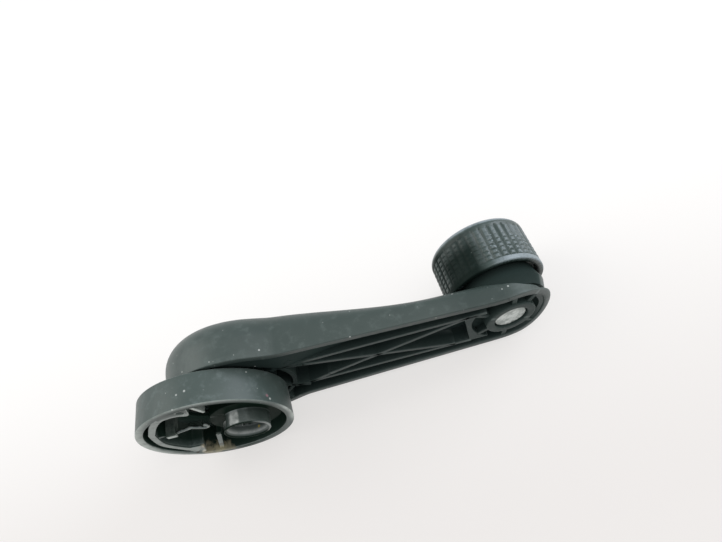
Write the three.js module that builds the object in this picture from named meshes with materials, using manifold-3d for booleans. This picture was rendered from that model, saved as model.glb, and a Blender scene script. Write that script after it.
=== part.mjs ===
import * as THREE from "three";
import { mergeVertices } from "three/addons/utils/BufferGeometryUtils.js";
import Module from "manifold-3d";

// A window crank handle: a hollow ribbed arm, a splined hub that grips the
// window winder's spindle, a ring that slides across to lock it there, and a
// knob that turns freely on a slightly tilted pin.
//
// The crank's own frame has its origin on the spindle's axis, at the arm's
// open rim. X runs along the arm to the knob and Z points at the door. The
// whole handle lies on its side, as it does when it is off the car.
//
// All lengths are in millimetres and all angles in degrees.

// Sizes that the whole handle shares.
const spindleToPin = 89.1;
const pinTilt = 8.7;
const runGap = 0.3;
const overrun = 1;
const weld = 0.0001;

const arm = {
  hubRadius: 24.2,
  rootHalf: 20.8,
  tipRadius: 14.4,
  blend: 3.5,
  hubDepth: 16.4,
  tipDepth: 8,
  deepEnd: 6,
  shallowStart: 68,
  hubEdge: 8.4,
  hubEdgeDrop: 9.1,
  tipEdge: 5.3,
  tipEdgeDrop: 3.6,
  rimWall: 2.6,
  skin: 2.6,
  noseRise: 4.2,
  noseFrom: 84,
  noseFlare: 1.7,
  neckRadius: 13.2,
  neckTop: 12.6,
  bossRadius: 8.2,
};

const ribs = {
  thick: 1.5,
  sink: 0.3,
  hubWallRadius: 17,
  webRadius: 12.6,
  webLeft: 74.9,
  upperLine: 8,
  lowerLine: 9.6,
};

const splineHub = {
  radius: 7.4,
  depth: 10,
  top: 13.9,
  splineTip: 5.9,
  splineRoot: 5.2,
  teeth: 18,
  boreFloor: 6,
  flangeRadius: 11.6,
  flangeThick: 6.45,
  edge: 0.4,
};

const column = {
  radius: 11.4,
  flatHalf: 10.2,
  top: 2.25,
};

const lockRing = {
  stopGap: 0.61,
  lift: 0.48,
  step: 0.1,
  flare: 0.7,
  height: 10.64,
  wall: 2.44,
  floor: 1.52,
  edge: 0.45,
  slotGap: 0.4,
  slotEndGap: 0.8,
  webTop: 10.2,
  webAngle: -108,
  webThick: 1.6,
  webInner: 8.2,
  flangeRoom: 0.6,
  finAngle: 87.6,
  finTipAngle: 79.6,
  finTip: 16.7,
  finThick: 1,
  cWallTop: 10.9,
  cWallGap: 1.76,
  cWallThick: 2.1,
  cWallFrom: 90,
  cWallTo: 238,
  eyeAngle: 98,
  eyeInset: 2,
  eyeRadius: 1.3,
  ribThick: 1.2,
  ribSide: 3,
  anchorWide: 2.4,
  anchorLong: 3.2,
  anchorTop: 11,
};

// The C-shaped wall inside the ring: how far round it a place lies, then how
// far its inner face stands in from the ring and how far its outer face does.
const cWallShares = [
  [0, 0.1, 0],
  [0.012, 0.77, 0],
  [0.027, 1.28, 0],
  [0.047, 1.44, 0],
  [0.068, 1.31, 0],
  [0.088, 1.05, 0],
  [0.122, 0.84, 0],
  [0.149, 0.74, 0],
  [0.189, 0.61, 0.1],
  [0.243, 0.69, 0.42],
  [0.318, 0.87, 0.72],
  [0.405, 0.985, 0.95],
  [0.473, 1, 1],
  [0.66, 1, 1],
  [0.845, 1, 1],
  [0.892, 1.2, 0.8],
  [0.939, 1.6, 0.3],
  [0.959, 1.6, 0],
  [0.98, 0.9, 0],
  [1, 0.1, 0],
];

const lockSpring = {
  wire: 1.1,
  anchored: 2.4,
  kink: 6.6,
  kinkSide: 1.4,
  end: 3.6,
  endSide: -1.3,
  hookRadius: 1.2,
  hookTail: 1,
};

const pin = {
  shank: 5.3,
  recess: 0.67,
  journal: 4.5,
  grooveRadius: 3.8,
  endPastClip: 0.9,
  edge: 0.4,
};

const knob = {
  lipRadius: 16.45,
  lipEdge: 0.5,
  topRadius: 16.1,
  lipBottom: 11.3,
  top: 28.5,
  topRound: 2.5,
  recessRadius: 14.4,
  chamberRadius: 9.6,
  chamberFloor: 21,
  capRadius: 11.8,
  capThick: 1.6,
  capSink: 0.2,
};

const bush = {
  wall: 1.4,
  flangeRadius: 8.2,
  flangeThick: 0.9,
};

const thrustWasher = { radius: 9, thick: 1.2 };
const waveWasher = { radius: 7.6, thick: 0.4, wave: 0.15, waves: 3 };
const clip = { radius: 7.2, thick: 0.8, mouth: 100 };

// How finely round shapes are cut.
const roundSides = 64;
const smallSides = 36;
const arcSteps = 20;
const edgeSteps = 5;
const cWallSteps = 72;
const wireSteps = 40;

const plastic = new THREE.MeshStandardMaterial({ color: 0x4c5754, roughness: 0.5 });
const darkPlastic = new THREE.MeshStandardMaterial({ color: 0x434d4b, roughness: 0.55 });
const rubbedPlastic = new THREE.MeshStandardMaterial({ color: 0x565f5d, roughness: 0.45 });
const nylon = new THREE.MeshStandardMaterial({ color: 0xc9c7bd, roughness: 0.5 });
const steel = new THREE.MeshStandardMaterial({ color: 0xa9aeab, roughness: 0.4, metalness: 1 });
const springSteel = new THREE.MeshStandardMaterial({ color: 0x7f8583, roughness: 0.35, metalness: 1 });

const wasm = await Module();
wasm.setup();

// Signed volume of the triangles, positive when they face outwards.
function signedVolume(points, triangles) {
  const a = new THREE.Vector3();
  const b = new THREE.Vector3();
  const c = new THREE.Vector3();
  let sum = 0;
  for (let i = 0; i < triangles.length; i += 3) {
    a.fromArray(points, 3 * triangles[i]);
    b.fromArray(points, 3 * triangles[i + 1]);
    c.fromArray(points, 3 * triangles[i + 2]);
    sum += a.dot(b.cross(c));
  }
  return sum;
}

// Turns a closed geometry into a solid, with its faces pointing out whichever
// way its profile ran, and with the collapsed triangles at its poles left out.
function solid(geometry) {
  const bare = geometry.clone();
  bare.deleteAttribute("normal");
  bare.deleteAttribute("uv");
  const merged = mergeVertices(bare, weld);
  const points = new Float32Array(merged.attributes.position.array);
  const index = merged.index.array;
  const kept = [];
  for (let i = 0; i < index.length; i += 3) {
    const [a, b, c] = [index[i], index[i + 1], index[i + 2]];
    if (a !== b && b !== c && c !== a) kept.push(a, b, c);
  }
  if (signedVolume(points, kept) < 0) kept.reverse();
  const mesh = new wasm.Mesh({
    numProp: 3,
    vertProperties: points,
    triVerts: new Uint32Array(kept),
  });
  return new wasm.Manifold(mesh);
}

function geometryOf(body) {
  const mesh = body.getMesh();
  const geometry = new THREE.BufferGeometry();
  geometry.setAttribute("position", new THREE.BufferAttribute(mesh.vertProperties, 3));
  geometry.setIndex(new THREE.BufferAttribute(mesh.triVerts, 1));
  geometry.computeVertexNormals();
  return geometry;
}

function meshOf(name, body, material) {
  const mesh = new THREE.Mesh(geometryOf(body), material);
  mesh.name = name;
  return mesh;
}

// A closed profile of [radius, height] points turned about Z.
function turned(profile, sides = roundSides) {
  const points = profile.map(([radius, height]) => new THREE.Vector2(radius, height));
  points.push(points[0].clone());
  const geometry = new THREE.LatheGeometry(points, sides);
  geometry.rotateX(Math.PI / 2);
  return solid(geometry);
}

function disc(radius, low, high, sides = roundSides) {
  return turned([[0, low], [radius, low], [radius, high], [0, high]], sides);
}

function tube(inner, outer, low, high, sides = roundSides) {
  return turned([[inner, low], [outer, low], [outer, high], [inner, high]], sides);
}

// A block between two corners.
function block(x0, x1, y0, y1, low, high) {
  const geometry = new THREE.BoxGeometry(x1 - x0, y1 - y0, high - low);
  geometry.translate((x0 + x1) / 2, (y0 + y1) / 2, (low + high) / 2);
  return solid(geometry);
}

// A wall of a given thickness that stands along the line between two points.
function wallBetween([x0, y0], [x1, y1], thick, low, high) {
  const length = Math.hypot(x1 - x0, y1 - y0);
  const geometry = new THREE.BoxGeometry(length, thick, high - low);
  geometry.rotateZ(Math.atan2(y1 - y0, x1 - x0));
  geometry.translate((x0 + x1) / 2, (y0 + y1) / 2, (low + high) / 2);
  return solid(geometry);
}

function extruded(shape, low, high) {
  const geometry = new THREE.ExtrudeGeometry(shape, {
    depth: high - low,
    bevelEnabled: false,
    curveSegments: arcSteps,
  });
  geometry.translate(0, 0, low);
  return solid(geometry);
}

function polar(radius, degrees) {
  const angle = THREE.MathUtils.degToRad(degrees);
  return [radius * Math.cos(angle), radius * Math.sin(angle)];
}

function smooth(share) {
  const t = THREE.MathUtils.clamp(share, 0, 1);
  return t * t * (3 - 2 * t);
}

// The larger of two lengths, rounded over where they cross.
function blendedMax(a, b, width) {
  const near = Math.max(0, 1 - Math.abs(a - b) / width);
  return Math.max(a, b) + (width / 4) * near * near;
}

// How far along the slope from the deep hub to the shallow arm a place lies.
function slopeShare(x) {
  return smooth((x - arm.deepEnd) / (arm.shallowStart - arm.deepEnd));
}

function armDepth(x) {
  return THREE.MathUtils.lerp(arm.hubDepth, arm.tipDepth, slopeShare(x));
}

function armHalfWidth(x) {
  if (x > spindleToPin) {
    return Math.sqrt(Math.max(0, arm.tipRadius ** 2 - (x - spindleToPin) ** 2));
  }
  const taper = THREE.MathUtils.lerp(arm.rootHalf, arm.tipRadius, x / spindleToPin);
  const round = Math.sqrt(Math.max(0, arm.hubRadius ** 2 - x ** 2));
  if (x < 0) return round;
  return blendedMax(round, taper, arm.blend);
}

// How far along the nose round the pin a place lies.
function noseShare(x) {
  const noseEnd = spindleToPin + arm.tipRadius;
  return Math.max(0, (x - arm.noseFrom) / (noseEnd - arm.noseFrom));
}

// The rim is flat, but for the nose, where it curves away.
function rimHeight(x) {
  return -arm.noseRise * noseShare(x) ** 2;
}

// Half of the arm's outline seen from the door, from the hub's far end round
// to the nose, with each point's outward direction.
function armOutline() {
  const hubSteps = 18;
  const armSteps = 13;
  const tipSteps = 10;
  const hubEndAngle = 40;
  const stations = [];
  for (let i = 0; i < hubSteps; i++) {
    const [x] = polar(arm.hubRadius, 180 - ((180 - hubEndAngle) * i) / hubSteps);
    stations.push(x);
  }
  const [armStart] = polar(arm.hubRadius, hubEndAngle);
  for (let i = 0; i < armSteps; i++) {
    stations.push(THREE.MathUtils.lerp(armStart, spindleToPin, i / armSteps));
  }
  for (let i = 0; i <= tipSteps; i++) {
    const [x] = polar(arm.tipRadius, 90 - (90 * i) / tipSteps);
    stations.push(spindleToPin + x);
  }
  const points = stations.map((x) => [x, armHalfWidth(x)]);
  points[0][1] = 0;
  points[points.length - 1][1] = 0;
  return points.map(([x, y], i) => {
    if (i === 0) return { x, y, outX: -1, outY: 0 };
    if (i === points.length - 1) return { x, y, outX: 1, outY: 0 };
    const [ax, ay] = points[i - 1];
    const [bx, by] = points[i + 1];
    const length = Math.hypot(bx - ax, by - ay);
    return { x, y, outX: -(by - ay) / length, outY: (bx - ax) / length };
  });
}

// One level of the arm's body. Each outline point moves inward by an inset
// that eases from the hub's to the arm's, and round the pin it also follows
// the pin's tilt. The flare draws the nose's wall in below its rim.
function armLevel(outline, wall, inHub, inTip, flare, heightAt) {
  const tiltRun = Math.tan(THREE.MathUtils.degToRad(pinTilt));
  return outline.map(({ x, y, outX, outY }) => {
    const drawn = flare * smooth(noseShare(x));
    const inset = wall + THREE.MathUtils.lerp(inHub, inTip, slopeShare(x)) + drawn;
    const px = x - outX * inset;
    const height = heightAt(px);
    const follows = smooth((x - spindleToPin + arm.tipRadius) / arm.tipRadius);
    return [px + height * tiltRun * follows, Math.max(0, y - outY * inset), height];
  });
}

// A body from its levels: each level is a half outline that is mirrored, and
// the first and last levels are closed with strips straight across.
function mirroredBody(levels) {
  const last = levels[0].length - 1;
  const ring = levels.map((level) => {
    const back = level.slice(1, last).reverse();
    return level.concat(back.map(([x, y, z]) => [x, -y, z]));
  });
  const count = ring[0].length;
  const positions = ring.flat(2);
  const index = [];
  for (let k = 0; k < levels.length - 1; k++) {
    for (let i = 0; i < count; i++) {
      const a = k * count + i;
      const b = k * count + ((i + 1) % count);
      index.push(a, b, a + count, b, b + count, a + count);
    }
  }
  const mirrorOf = (i) => (i === 0 || i === last ? i : count - i);
  const top = (levels.length - 1) * count;
  for (let i = 0; i < last; i++) {
    const [j, p, q] = [i + 1, mirrorOf(i), mirrorOf(i + 1)];
    index.push(i, q, j, i, p, q);
    index.push(top + i, top + j, top + q, top + i, top + q, top + p);
  }
  const geometry = new THREE.BufferGeometry();
  geometry.setAttribute("position", new THREE.Float32BufferAttribute(positions, 3));
  geometry.setIndex(index);
  return solid(geometry);
}

// The arm's levels from its rim to its outer face, whose edge is rounded. A
// wall and a skin shrink them to the hollow inside.
function armLevels(wall, skin, rimLift) {
  const outline = armOutline();
  const keep = (size, cut) => Math.max(size - cut / 2, size / 2);
  const insetHub = keep(arm.hubEdge, wall);
  const insetTip = keep(arm.tipEdge, wall);
  const dropHub = keep(arm.hubEdgeDrop, skin);
  const dropTip = keep(arm.tipEdgeDrop, skin);
  const levels = [armLevel(outline, wall, 0, 0, 0, (x) => rimHeight(x) + rimLift)];
  for (let i = 0; i <= edgeSteps; i++) {
    const turn = ((Math.PI / 2) * i) / edgeSteps;
    const inward = 1 - Math.cos(turn);
    const above = 1 - Math.sin(turn);
    const heightAt = (x) => {
      const drop = THREE.MathUtils.lerp(dropHub, dropTip, slopeShare(x));
      return skin - armDepth(x) + drop * above;
    };
    const [inHub, inTip] = [insetHub * inward, insetTip * inward];
    levels.push(armLevel(outline, wall, inHub, inTip, arm.noseFlare, heightAt));
  }
  return levels;
}

// Places a solid that was made about the pin's axis, with Z towards the door.
function aboutPin(body) {
  return body.rotate([0, pinTilt, 0]).translate([spindleToPin, 0, 0]);
}

// The long ribs in the arm's hollow: two along it, two across from side to
// side, written as shares of the arm's length and of each long rib's offset.
function longRibs(low) {
  const upper = ribs.upperLine;
  const lower = -ribs.lowerLine;
  const lineShares = [
    [[0.168, 1], [0.92, 1]],
    [[0.168, 0], [0.845, 0]],
    [[0.228, 0], [0.314, 0.14]],
    [[0.31, 0.135], [0.86, 1]],
    [[0.176, 1], [0.253, 0.875]],
    [[0.249, 0.88], [0.786, 0]],
  ];
  const place = ([along, across]) => [
    along * spindleToPin,
    THREE.MathUtils.lerp(lower, upper, across),
  ];
  return lineShares.map(([from, to]) =>
    wallBetween(place(from), place(to), ribs.thick, low, 0),
  );
}

// Short ribs that run out like spokes from the pin's boss and from the
// guide column.
function spokes(low) {
  const pinAngles = [80, 42, -57, -105, -150, 145];
  const hubAngles = [30, 60, 120, 150, 180, 210, 240, 300, 330];
  const made = pinAngles.map((angle) => {
    const [x, y] = polar(arm.tipRadius - arm.rimWall / 2, angle);
    return wallBetween([spindleToPin, 0], [spindleToPin + x, y], ribs.thick, low, 0);
  });
  for (const angle of hubAngles) {
    const reach = arm.hubRadius - arm.rimWall / 2;
    made.push(wallBetween([0, 0], polar(reach, angle), ribs.thick, low, 0));
  }
  return made;
}

// The web that closes the ribbed length off from the pin's end.
function endWeb(low) {
  const web = block(
    ribs.webLeft,
    spindleToPin,
    -ribs.lowerLine,
    ribs.upperLine,
    low,
    0,
  );
  const hollow = disc(ribs.webRadius, low - overrun, overrun);
  return web.subtract(hollow.translate([spindleToPin, 0, 0]));
}

function hubWall(low) {
  const half = ribs.thick / 2;
  return tube(ribs.hubWallRadius - half, ribs.hubWallRadius + half, low, 0);
}

// The column that guides the ring as it slides and holds the splined hub.
function guideColumn(low) {
  const round = disc(column.radius, low, column.top);
  const flats = block(
    -column.radius - overrun,
    column.radius + overrun,
    -column.flatHalf,
    column.flatHalf,
    low - overrun,
    column.top + overrun,
  );
  return round.intersect(flats);
}

// The round neck outside the arm that carries the knob, and the boss inside.
function pinHousing() {
  const root = arm.tipDepth / 2;
  const neck = disc(arm.neckRadius, -arm.neckTop, -root);
  const boss = disc(arm.bossRadius, -arm.neckTop, 0);
  return aboutPin(neck.add(boss));
}

function crankArm() {
  const outer = mirroredBody(armLevels(0, 0, 0));
  const hollow = mirroredBody(armLevels(arm.rimWall, arm.skin, overrun));
  const low = -arm.hubDepth;
  let ribbing = endWeb(low).add(hubWall(low));
  for (const rib of [...longRibs(low), ...spokes(low)]) ribbing = ribbing.add(rib);
  ribbing = ribbing.intersect(outer.translate([0, 0, -ribs.sink]));
  ribbing = ribbing.intersect(outer);
  const columnRoot = arm.skin / 2 - arm.hubDepth;
  const sleevePocket = disc(
    splineHub.radius + runGap,
    -splineHub.depth - runGap,
    column.top + overrun,
    smallSides,
  );
  const pinBore = disc(pin.shank + runGap, -arm.neckTop - overrun, overrun, smallSides);
  return outer
    .subtract(hollow)
    .add(ribbing)
    .add(guideColumn(columnRoot))
    .add(pinHousing())
    .subtract(sleevePocket)
    .subtract(aboutPin(pinBore));
}

// Where the hub's flange lies: just above the column, over the ring's floor.
const flangeLow = column.top + runGap;
const flangeTop = flangeLow + splineHub.flangeThick;
const springHeight = flangeTop + runGap + lockSpring.wire / 2;

// The outline of the splined bore, each spline drawn with four corners.
function splineShape() {
  const pitch = 360 / splineHub.teeth;
  const cornerShares = [[-0.3, 0], [-0.16, 1], [0.16, 1], [0.3, 0]];
  const points = [];
  for (let i = 0; i < splineHub.teeth; i++) {
    for (const [turn, out] of cornerShares) {
      const radius = THREE.MathUtils.lerp(splineHub.splineRoot, splineHub.splineTip, out);
      points.push(new THREE.Vector2(...polar(radius, (i + turn) * pitch)));
    }
  }
  return new THREE.Shape(points);
}

// A sleeve with a splined blind bore, and a flange that keeps the ring on.
// The notch in its side lets the locking spring reach the spindle's groove.
function splinedHub() {
  const { radius, depth, top, edge, flangeRadius } = splineHub;
  const body = turned([
    [0, -depth],
    [radius, -depth],
    [radius, flangeLow],
    [flangeRadius, flangeLow],
    [flangeRadius, flangeTop - edge],
    [flangeRadius - edge, flangeTop],
    [radius, flangeTop],
    [radius, top - edge],
    [radius - edge, top],
    [0, top],
  ]);
  const bore = extruded(splineShape(), -splineHub.boreFloor, top + overrun);
  const notchSide = lockSpring.wire / 2 + 2 * runGap;
  const notch = block(
    -radius - overrun,
    lockSpring.wire - lockSpring.end,
    lockRing.ribSide + lockSpring.endSide - lockSpring.hookRadius - notchSide,
    lockRing.ribSide + lockSpring.kinkSide + notchSide,
    flangeTop,
    springHeight + notchSide,
  );
  return body.subtract(bore).subtract(notch);
}

// The ring's skirt, floor and inner walls. Its floor has a long slot that
// slides on the column and passes under the hub's flange.
const ringFoot = arm.hubRadius + lockRing.step;
const ringRim = ringFoot + lockRing.flare;
const ringInner = ringRim - lockRing.wall;
const ringTop = lockRing.lift + lockRing.height;
const ringFloorTop = lockRing.lift + lockRing.floor;
const cWallOuter = ringInner - lockRing.cWallGap;
const cWallMiddle = cWallOuter - lockRing.cWallThick / 2;

// How far the ring slides out from its place round the spindle, until its
// skirt stops just short of the hub's flange.
const travel = ringInner - splineHub.flangeRadius - lockRing.stopGap;

function ringSkirt() {
  const edge = lockRing.edge;
  return turned([
    [ringInner, lockRing.lift],
    [ringFoot - edge, lockRing.lift],
    [ringFoot, lockRing.lift + edge],
    [ringRim, ringTop - edge],
    [ringRim - edge, ringTop],
    [ringInner, ringTop],
  ]);
}

function ringFloor() {
  const plate = disc(ringInner + lockRing.wall / 2, lockRing.lift, ringFloorTop);
  const half = column.flatHalf + lockRing.slotGap;
  const end = column.radius + lockRing.slotEndGap;
  const high = ringFloorTop + overrun;
  const slot = block(-end, ringRim, -half, half, 0, high);
  const round = disc(end, 0, high).add(block(0, ringRim, -half, half, 0, high));
  return plate.subtract(slot.intersect(round));
}

// The C-shaped wall, with the eye in the end that curls up against the ring.
function cWall(low) {
  const { cWallFrom, cWallTo, cWallThick, cWallGap, wall } = lockRing;
  const face = (radiusAt) => {
    const points = cWallShares.map(([turn, inward, outward]) => {
      const angle = THREE.MathUtils.lerp(cWallFrom, cWallTo, turn);
      return new THREE.Vector2(...polar(radiusAt(inward, outward), angle));
    });
    return new THREE.SplineCurve(points).getPoints(cWallSteps);
  };
  const inside = face((inward) => ringInner - inward * (cWallGap + cWallThick));
  const reach = ringInner + wall / 2;
  const outside = face((_, outward) => THREE.MathUtils.lerp(reach, cWallOuter, outward));
  const body = extruded(new THREE.Shape(inside.concat(outside.reverse())), low, lockRing.cWallTop);
  const eye = disc(lockRing.eyeRadius, ringFloorTop, ringTop + overrun, smallSides);
  const [x, y] = polar(ringInner - lockRing.eyeInset, lockRing.eyeAngle);
  return body.subtract(eye.translate([x, y, 0]));
}

// The room that the hub's flange takes up as the ring slides past it.
function flangePath() {
  const radius = splineHub.flangeRadius + lockRing.flangeRoom;
  const high = flangeTop + runGap;
  const end = disc(radius, 0, high);
  return end
    .add(end.translate([travel, 0, 0]))
    .add(block(0, travel, -radius, radius, 0, high));
}

function ringWalls() {
  const low = (lockRing.lift + ringFloorTop) / 2;
  const { webAngle, webInner, webTop, webThick } = lockRing;
  const { finAngle, finTipAngle, finTip, finThick, cWallTop } = lockRing;
  const reach = ringInner + lockRing.wall / 2;
  const web = wallBetween(
    polar(webInner, webAngle),
    polar(reach, webAngle),
    webThick,
    low,
    webTop,
  );
  const fin = wallBetween(
    polar(finTip, finTipAngle),
    polar(reach, finAngle),
    finThick,
    low,
    cWallTop,
  );
  return cWall(low).add(web.subtract(flangePath())).add(fin);
}

// A rib carries the anchor that the locking spring is pushed into.
const anchorTip = -column.radius - lockRing.slotEndGap;

function springAnchor() {
  const low = (lockRing.lift + ringFloorTop) / 2;
  const tip = anchorTip;
  const side = lockRing.ribSide;
  const rib = block(
    -cWallMiddle,
    tip,
    side - lockRing.ribThick / 2,
    side + lockRing.ribThick / 2,
    low,
    lockRing.webTop,
  );
  const post = block(
    tip - lockRing.anchorLong,
    tip,
    side - lockRing.anchorWide / 2,
    side + lockRing.anchorWide / 2,
    low,
    lockRing.anchorTop,
  );
  return rib.add(post);
}

function anchorHole() {
  const radius = lockSpring.wire / 2 + runGap;
  const hole = disc(radius, -lockSpring.anchored - runGap, overrun, smallSides);
  return hole.rotate([0, 90, 0]).translate([anchorTip, lockRing.ribSide, springHeight]);
}

function ringBody() {
  const walls = ringWalls().add(springAnchor()).subtract(anchorHole());
  return ringSkirt().add(ringFloor()).add(walls);
}

// A round wire that runs from its anchor to a kink, slants down to its end
// and turns back on itself there in a small hook.
function springWire() {
  const { kink, kinkSide, end, endSide, hookRadius, hookTail, wire } = lockSpring;
  const straightSteps = 4;
  const hookSteps = 8;
  const places = [
    new THREE.Vector2(anchorTip - lockSpring.anchored, 0),
    new THREE.Vector2(anchorTip, 0),
    new THREE.Vector2(-kink, kinkSide),
    new THREE.Vector2(-end, endSide),
  ];
  const points = [];
  for (let k = 0; k < places.length - 1; k++) {
    for (let i = 0; i < straightSteps; i++) {
      const place = places[k].clone().lerp(places[k + 1], i / straightSteps);
      points.push(new THREE.Vector3(place.x, place.y, 0));
    }
  }
  const slant = THREE.MathUtils.radToDeg(Math.atan2(endSide - kinkSide, kink - end));
  const [alongX, alongY] = polar(1, slant);
  const centre = [-end - hookRadius * alongY, endSide + hookRadius * alongX];
  for (let i = 0; i <= hookSteps; i++) {
    const [x, y] = polar(hookRadius, slant - 90 + (180 * i) / hookSteps);
    points.push(new THREE.Vector3(centre[0] + x, centre[1] + y, 0));
  }
  const last = points[points.length - 1];
  points.push(new THREE.Vector3(last.x - hookTail * alongX, last.y - hookTail * alongY, 0));
  const sides = 8;
  const corners = [];
  for (let i = 0; i < sides; i++) {
    corners.push(new THREE.Vector2(...polar(wire / 2, (360 * i) / sides)));
  }
  const geometry = new THREE.ExtrudeGeometry(new THREE.Shape(corners), {
    steps: wireSteps,
    extrudePath: new THREE.CatmullRomCurve3(points),
  });
  geometry.translate(0, lockRing.ribSide, springHeight);
  return solid(geometry);
}

// Heights about the pin's axis are measured outward from the rim plane, away
// from the door. A profile of [radius, height outward] is turned into a solid.
function turnedOut(profile, sides) {
  return turned(profile.map(([radius, out]) => [radius, -out]), sides);
}

const bushBore = pin.journal + runGap;
const bushRadius = bushBore + bush.wall;
const washerLow = arm.neckTop + runGap;
const recessFloor = washerLow + thrustWasher.thick + runGap;
const bushFlangeLow = knob.chamberFloor + runGap;
const waveLow = bushFlangeLow + bush.flangeThick + runGap + waveWasher.wave;
const waveHigh = waveLow + waveWasher.thick + waveWasher.wave;
const clipLow = waveHigh + 2 * runGap;
const clipHigh = clipLow + clip.thick;
const pinEnd = clipHigh + pin.endPastClip;
const capHigh = knob.top - knob.capSink;
const capLow = capHigh - knob.capThick;

function knobPin() {
  const { shank, journal, recess, edge, grooveRadius } = pin;
  return turnedOut(
    [
      [0, recess],
      [shank - edge, recess],
      [shank, recess + edge],
      [shank, arm.neckTop],
      [journal, arm.neckTop],
      [journal, clipLow - runGap],
      [grooveRadius, clipLow - runGap],
      [grooveRadius, clipHigh + runGap],
      [journal, clipHigh + runGap],
      [journal, pinEnd - edge],
      [journal - edge, pinEnd],
      [0, pinEnd],
    ],
    smallSides,
  );
}

// The grip's outer profile, from its lip to the rounded edge at its top.
function gripOutside() {
  const profile = [
    [knob.lipRadius - knob.lipEdge, knob.lipBottom],
    [knob.lipRadius, knob.lipBottom + knob.lipEdge],
  ];
  const centre = knob.topRadius - knob.topRound;
  for (let i = 0; i <= edgeSteps; i++) {
    const [x, y] = polar(knob.topRound, (90 * i) / edgeSteps);
    profile.push([centre + x, knob.top - knob.topRound + y]);
  }
  return profile;
}

function knobGrip() {
  const bore = bushRadius + runGap;
  const capSeat = knob.capRadius + runGap;
  return turnedOut([
    ...gripOutside(),
    [capSeat, knob.top],
    [capSeat, capLow - runGap],
    [knob.chamberRadius, capLow - runGap],
    [knob.chamberRadius, knob.chamberFloor],
    [bore, knob.chamberFloor],
    [bore, recessFloor],
    [knob.recessRadius, recessFloor],
    [knob.recessRadius, knob.lipBottom],
  ]);
}

function knobBush() {
  const flangeHigh = bushFlangeLow + bush.flangeThick;
  return turnedOut([
    [bushBore, recessFloor],
    [bushRadius, recessFloor],
    [bushRadius, bushFlangeLow],
    [bush.flangeRadius, bushFlangeLow],
    [bush.flangeRadius, flangeHigh],
    [bushBore, flangeHigh],
  ], smallSides);
}

function knobCap() {
  const edge = knob.capSink;
  return turnedOut([
    [0, capLow],
    [knob.capRadius, capLow],
    [knob.capRadius, capHigh - edge],
    [knob.capRadius - edge, capHigh],
    [0, capHigh],
  ]);
}

function thrustRing() {
  const high = washerLow + thrustWasher.thick;
  return tube(bushBore, thrustWasher.radius, -high, -washerLow, smallSides);
}

// A flat spring ring whose height waves up and down as it goes round.
function wavedRing() {
  const { radius, thick, wave, waves } = waveWasher;
  const geometry = new THREE.LatheGeometry(
    [
      new THREE.Vector2(bushBore, 0),
      new THREE.Vector2(radius, 0),
      new THREE.Vector2(radius, thick),
      new THREE.Vector2(bushBore, thick),
      new THREE.Vector2(bushBore, 0),
    ],
    smallSides,
  );
  geometry.rotateX(Math.PI / 2);
  const place = geometry.attributes.position;
  for (let i = 0; i < place.count; i++) {
    const angle = Math.atan2(place.getY(i), place.getX(i));
    place.setZ(i, place.getZ(i) + wave * Math.sin(waves * angle));
  }
  geometry.translate(0, 0, -waveLow - thick);
  return solid(geometry);
}

// An open clip that snaps into the pin's groove.
function snapClip() {
  const inner = pin.grooveRadius + runGap;
  const start = THREE.MathUtils.degToRad(clip.mouth / 2);
  const end = 2 * Math.PI - start;
  const arc = new THREE.Shape();
  arc.absarc(0, 0, clip.radius, start, end, false);
  arc.absarc(0, 0, inner, end, start, true);
  return extruded(arc, -clipHigh, -clipLow);
}

const ringGroup = new THREE.Group();
ringGroup.position.x = -travel;
ringGroup.add(meshOf("lock_ring", ringBody(), darkPlastic));
ringGroup.add(meshOf("lock_spring", springWire(), springSteel));

const pinGroup = new THREE.Group();
pinGroup.position.x = spindleToPin;
pinGroup.rotation.y = THREE.MathUtils.degToRad(pinTilt);
pinGroup.add(meshOf("knob_pin", knobPin(), steel));
pinGroup.add(meshOf("thrust_washer", thrustRing(), nylon));
pinGroup.add(meshOf("knob_grip", knobGrip(), plastic));
pinGroup.add(meshOf("knob_bush", knobBush(), nylon));
pinGroup.add(meshOf("wave_washer", wavedRing(), springSteel));
pinGroup.add(meshOf("retaining_clip", snapClip(), springSteel));
pinGroup.add(meshOf("knob_cap", knobCap(), plastic));

const crank = new THREE.Group();
crank.add(meshOf("crank_arm", crankArm(), plastic));
crank.add(meshOf("spline_hub", splinedHub(), rubbedPlastic));
crank.add(ringGroup, pinGroup);

// The handle lies on its side, on the hub's round edge and the knob's lip, so
// the arm leans by the difference of the two over the distance between them.
const knobFootX = spindleToPin - knob.lipBottom * Math.sin(THREE.MathUtils.degToRad(pinTilt));
const lean = Math.asin((arm.hubRadius - knob.lipRadius) / knobFootX);
crank.rotation.set(Math.PI / 2, lean, 0, "YXZ");

// It stands on the ground plane, centred over the origin.
crank.updateMatrixWorld(true);
const bounds = new THREE.Box3().setFromObject(crank, true);
const middle = bounds.getCenter(new THREE.Vector3());
crank.position.set(-middle.x, -middle.y, -bounds.min.z);

const handle = new THREE.Group();
handle.add(crank);

export default handle;
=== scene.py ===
import bpy
import bmesh
import numpy as np
from mathutils import Matrix, Vector


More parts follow.
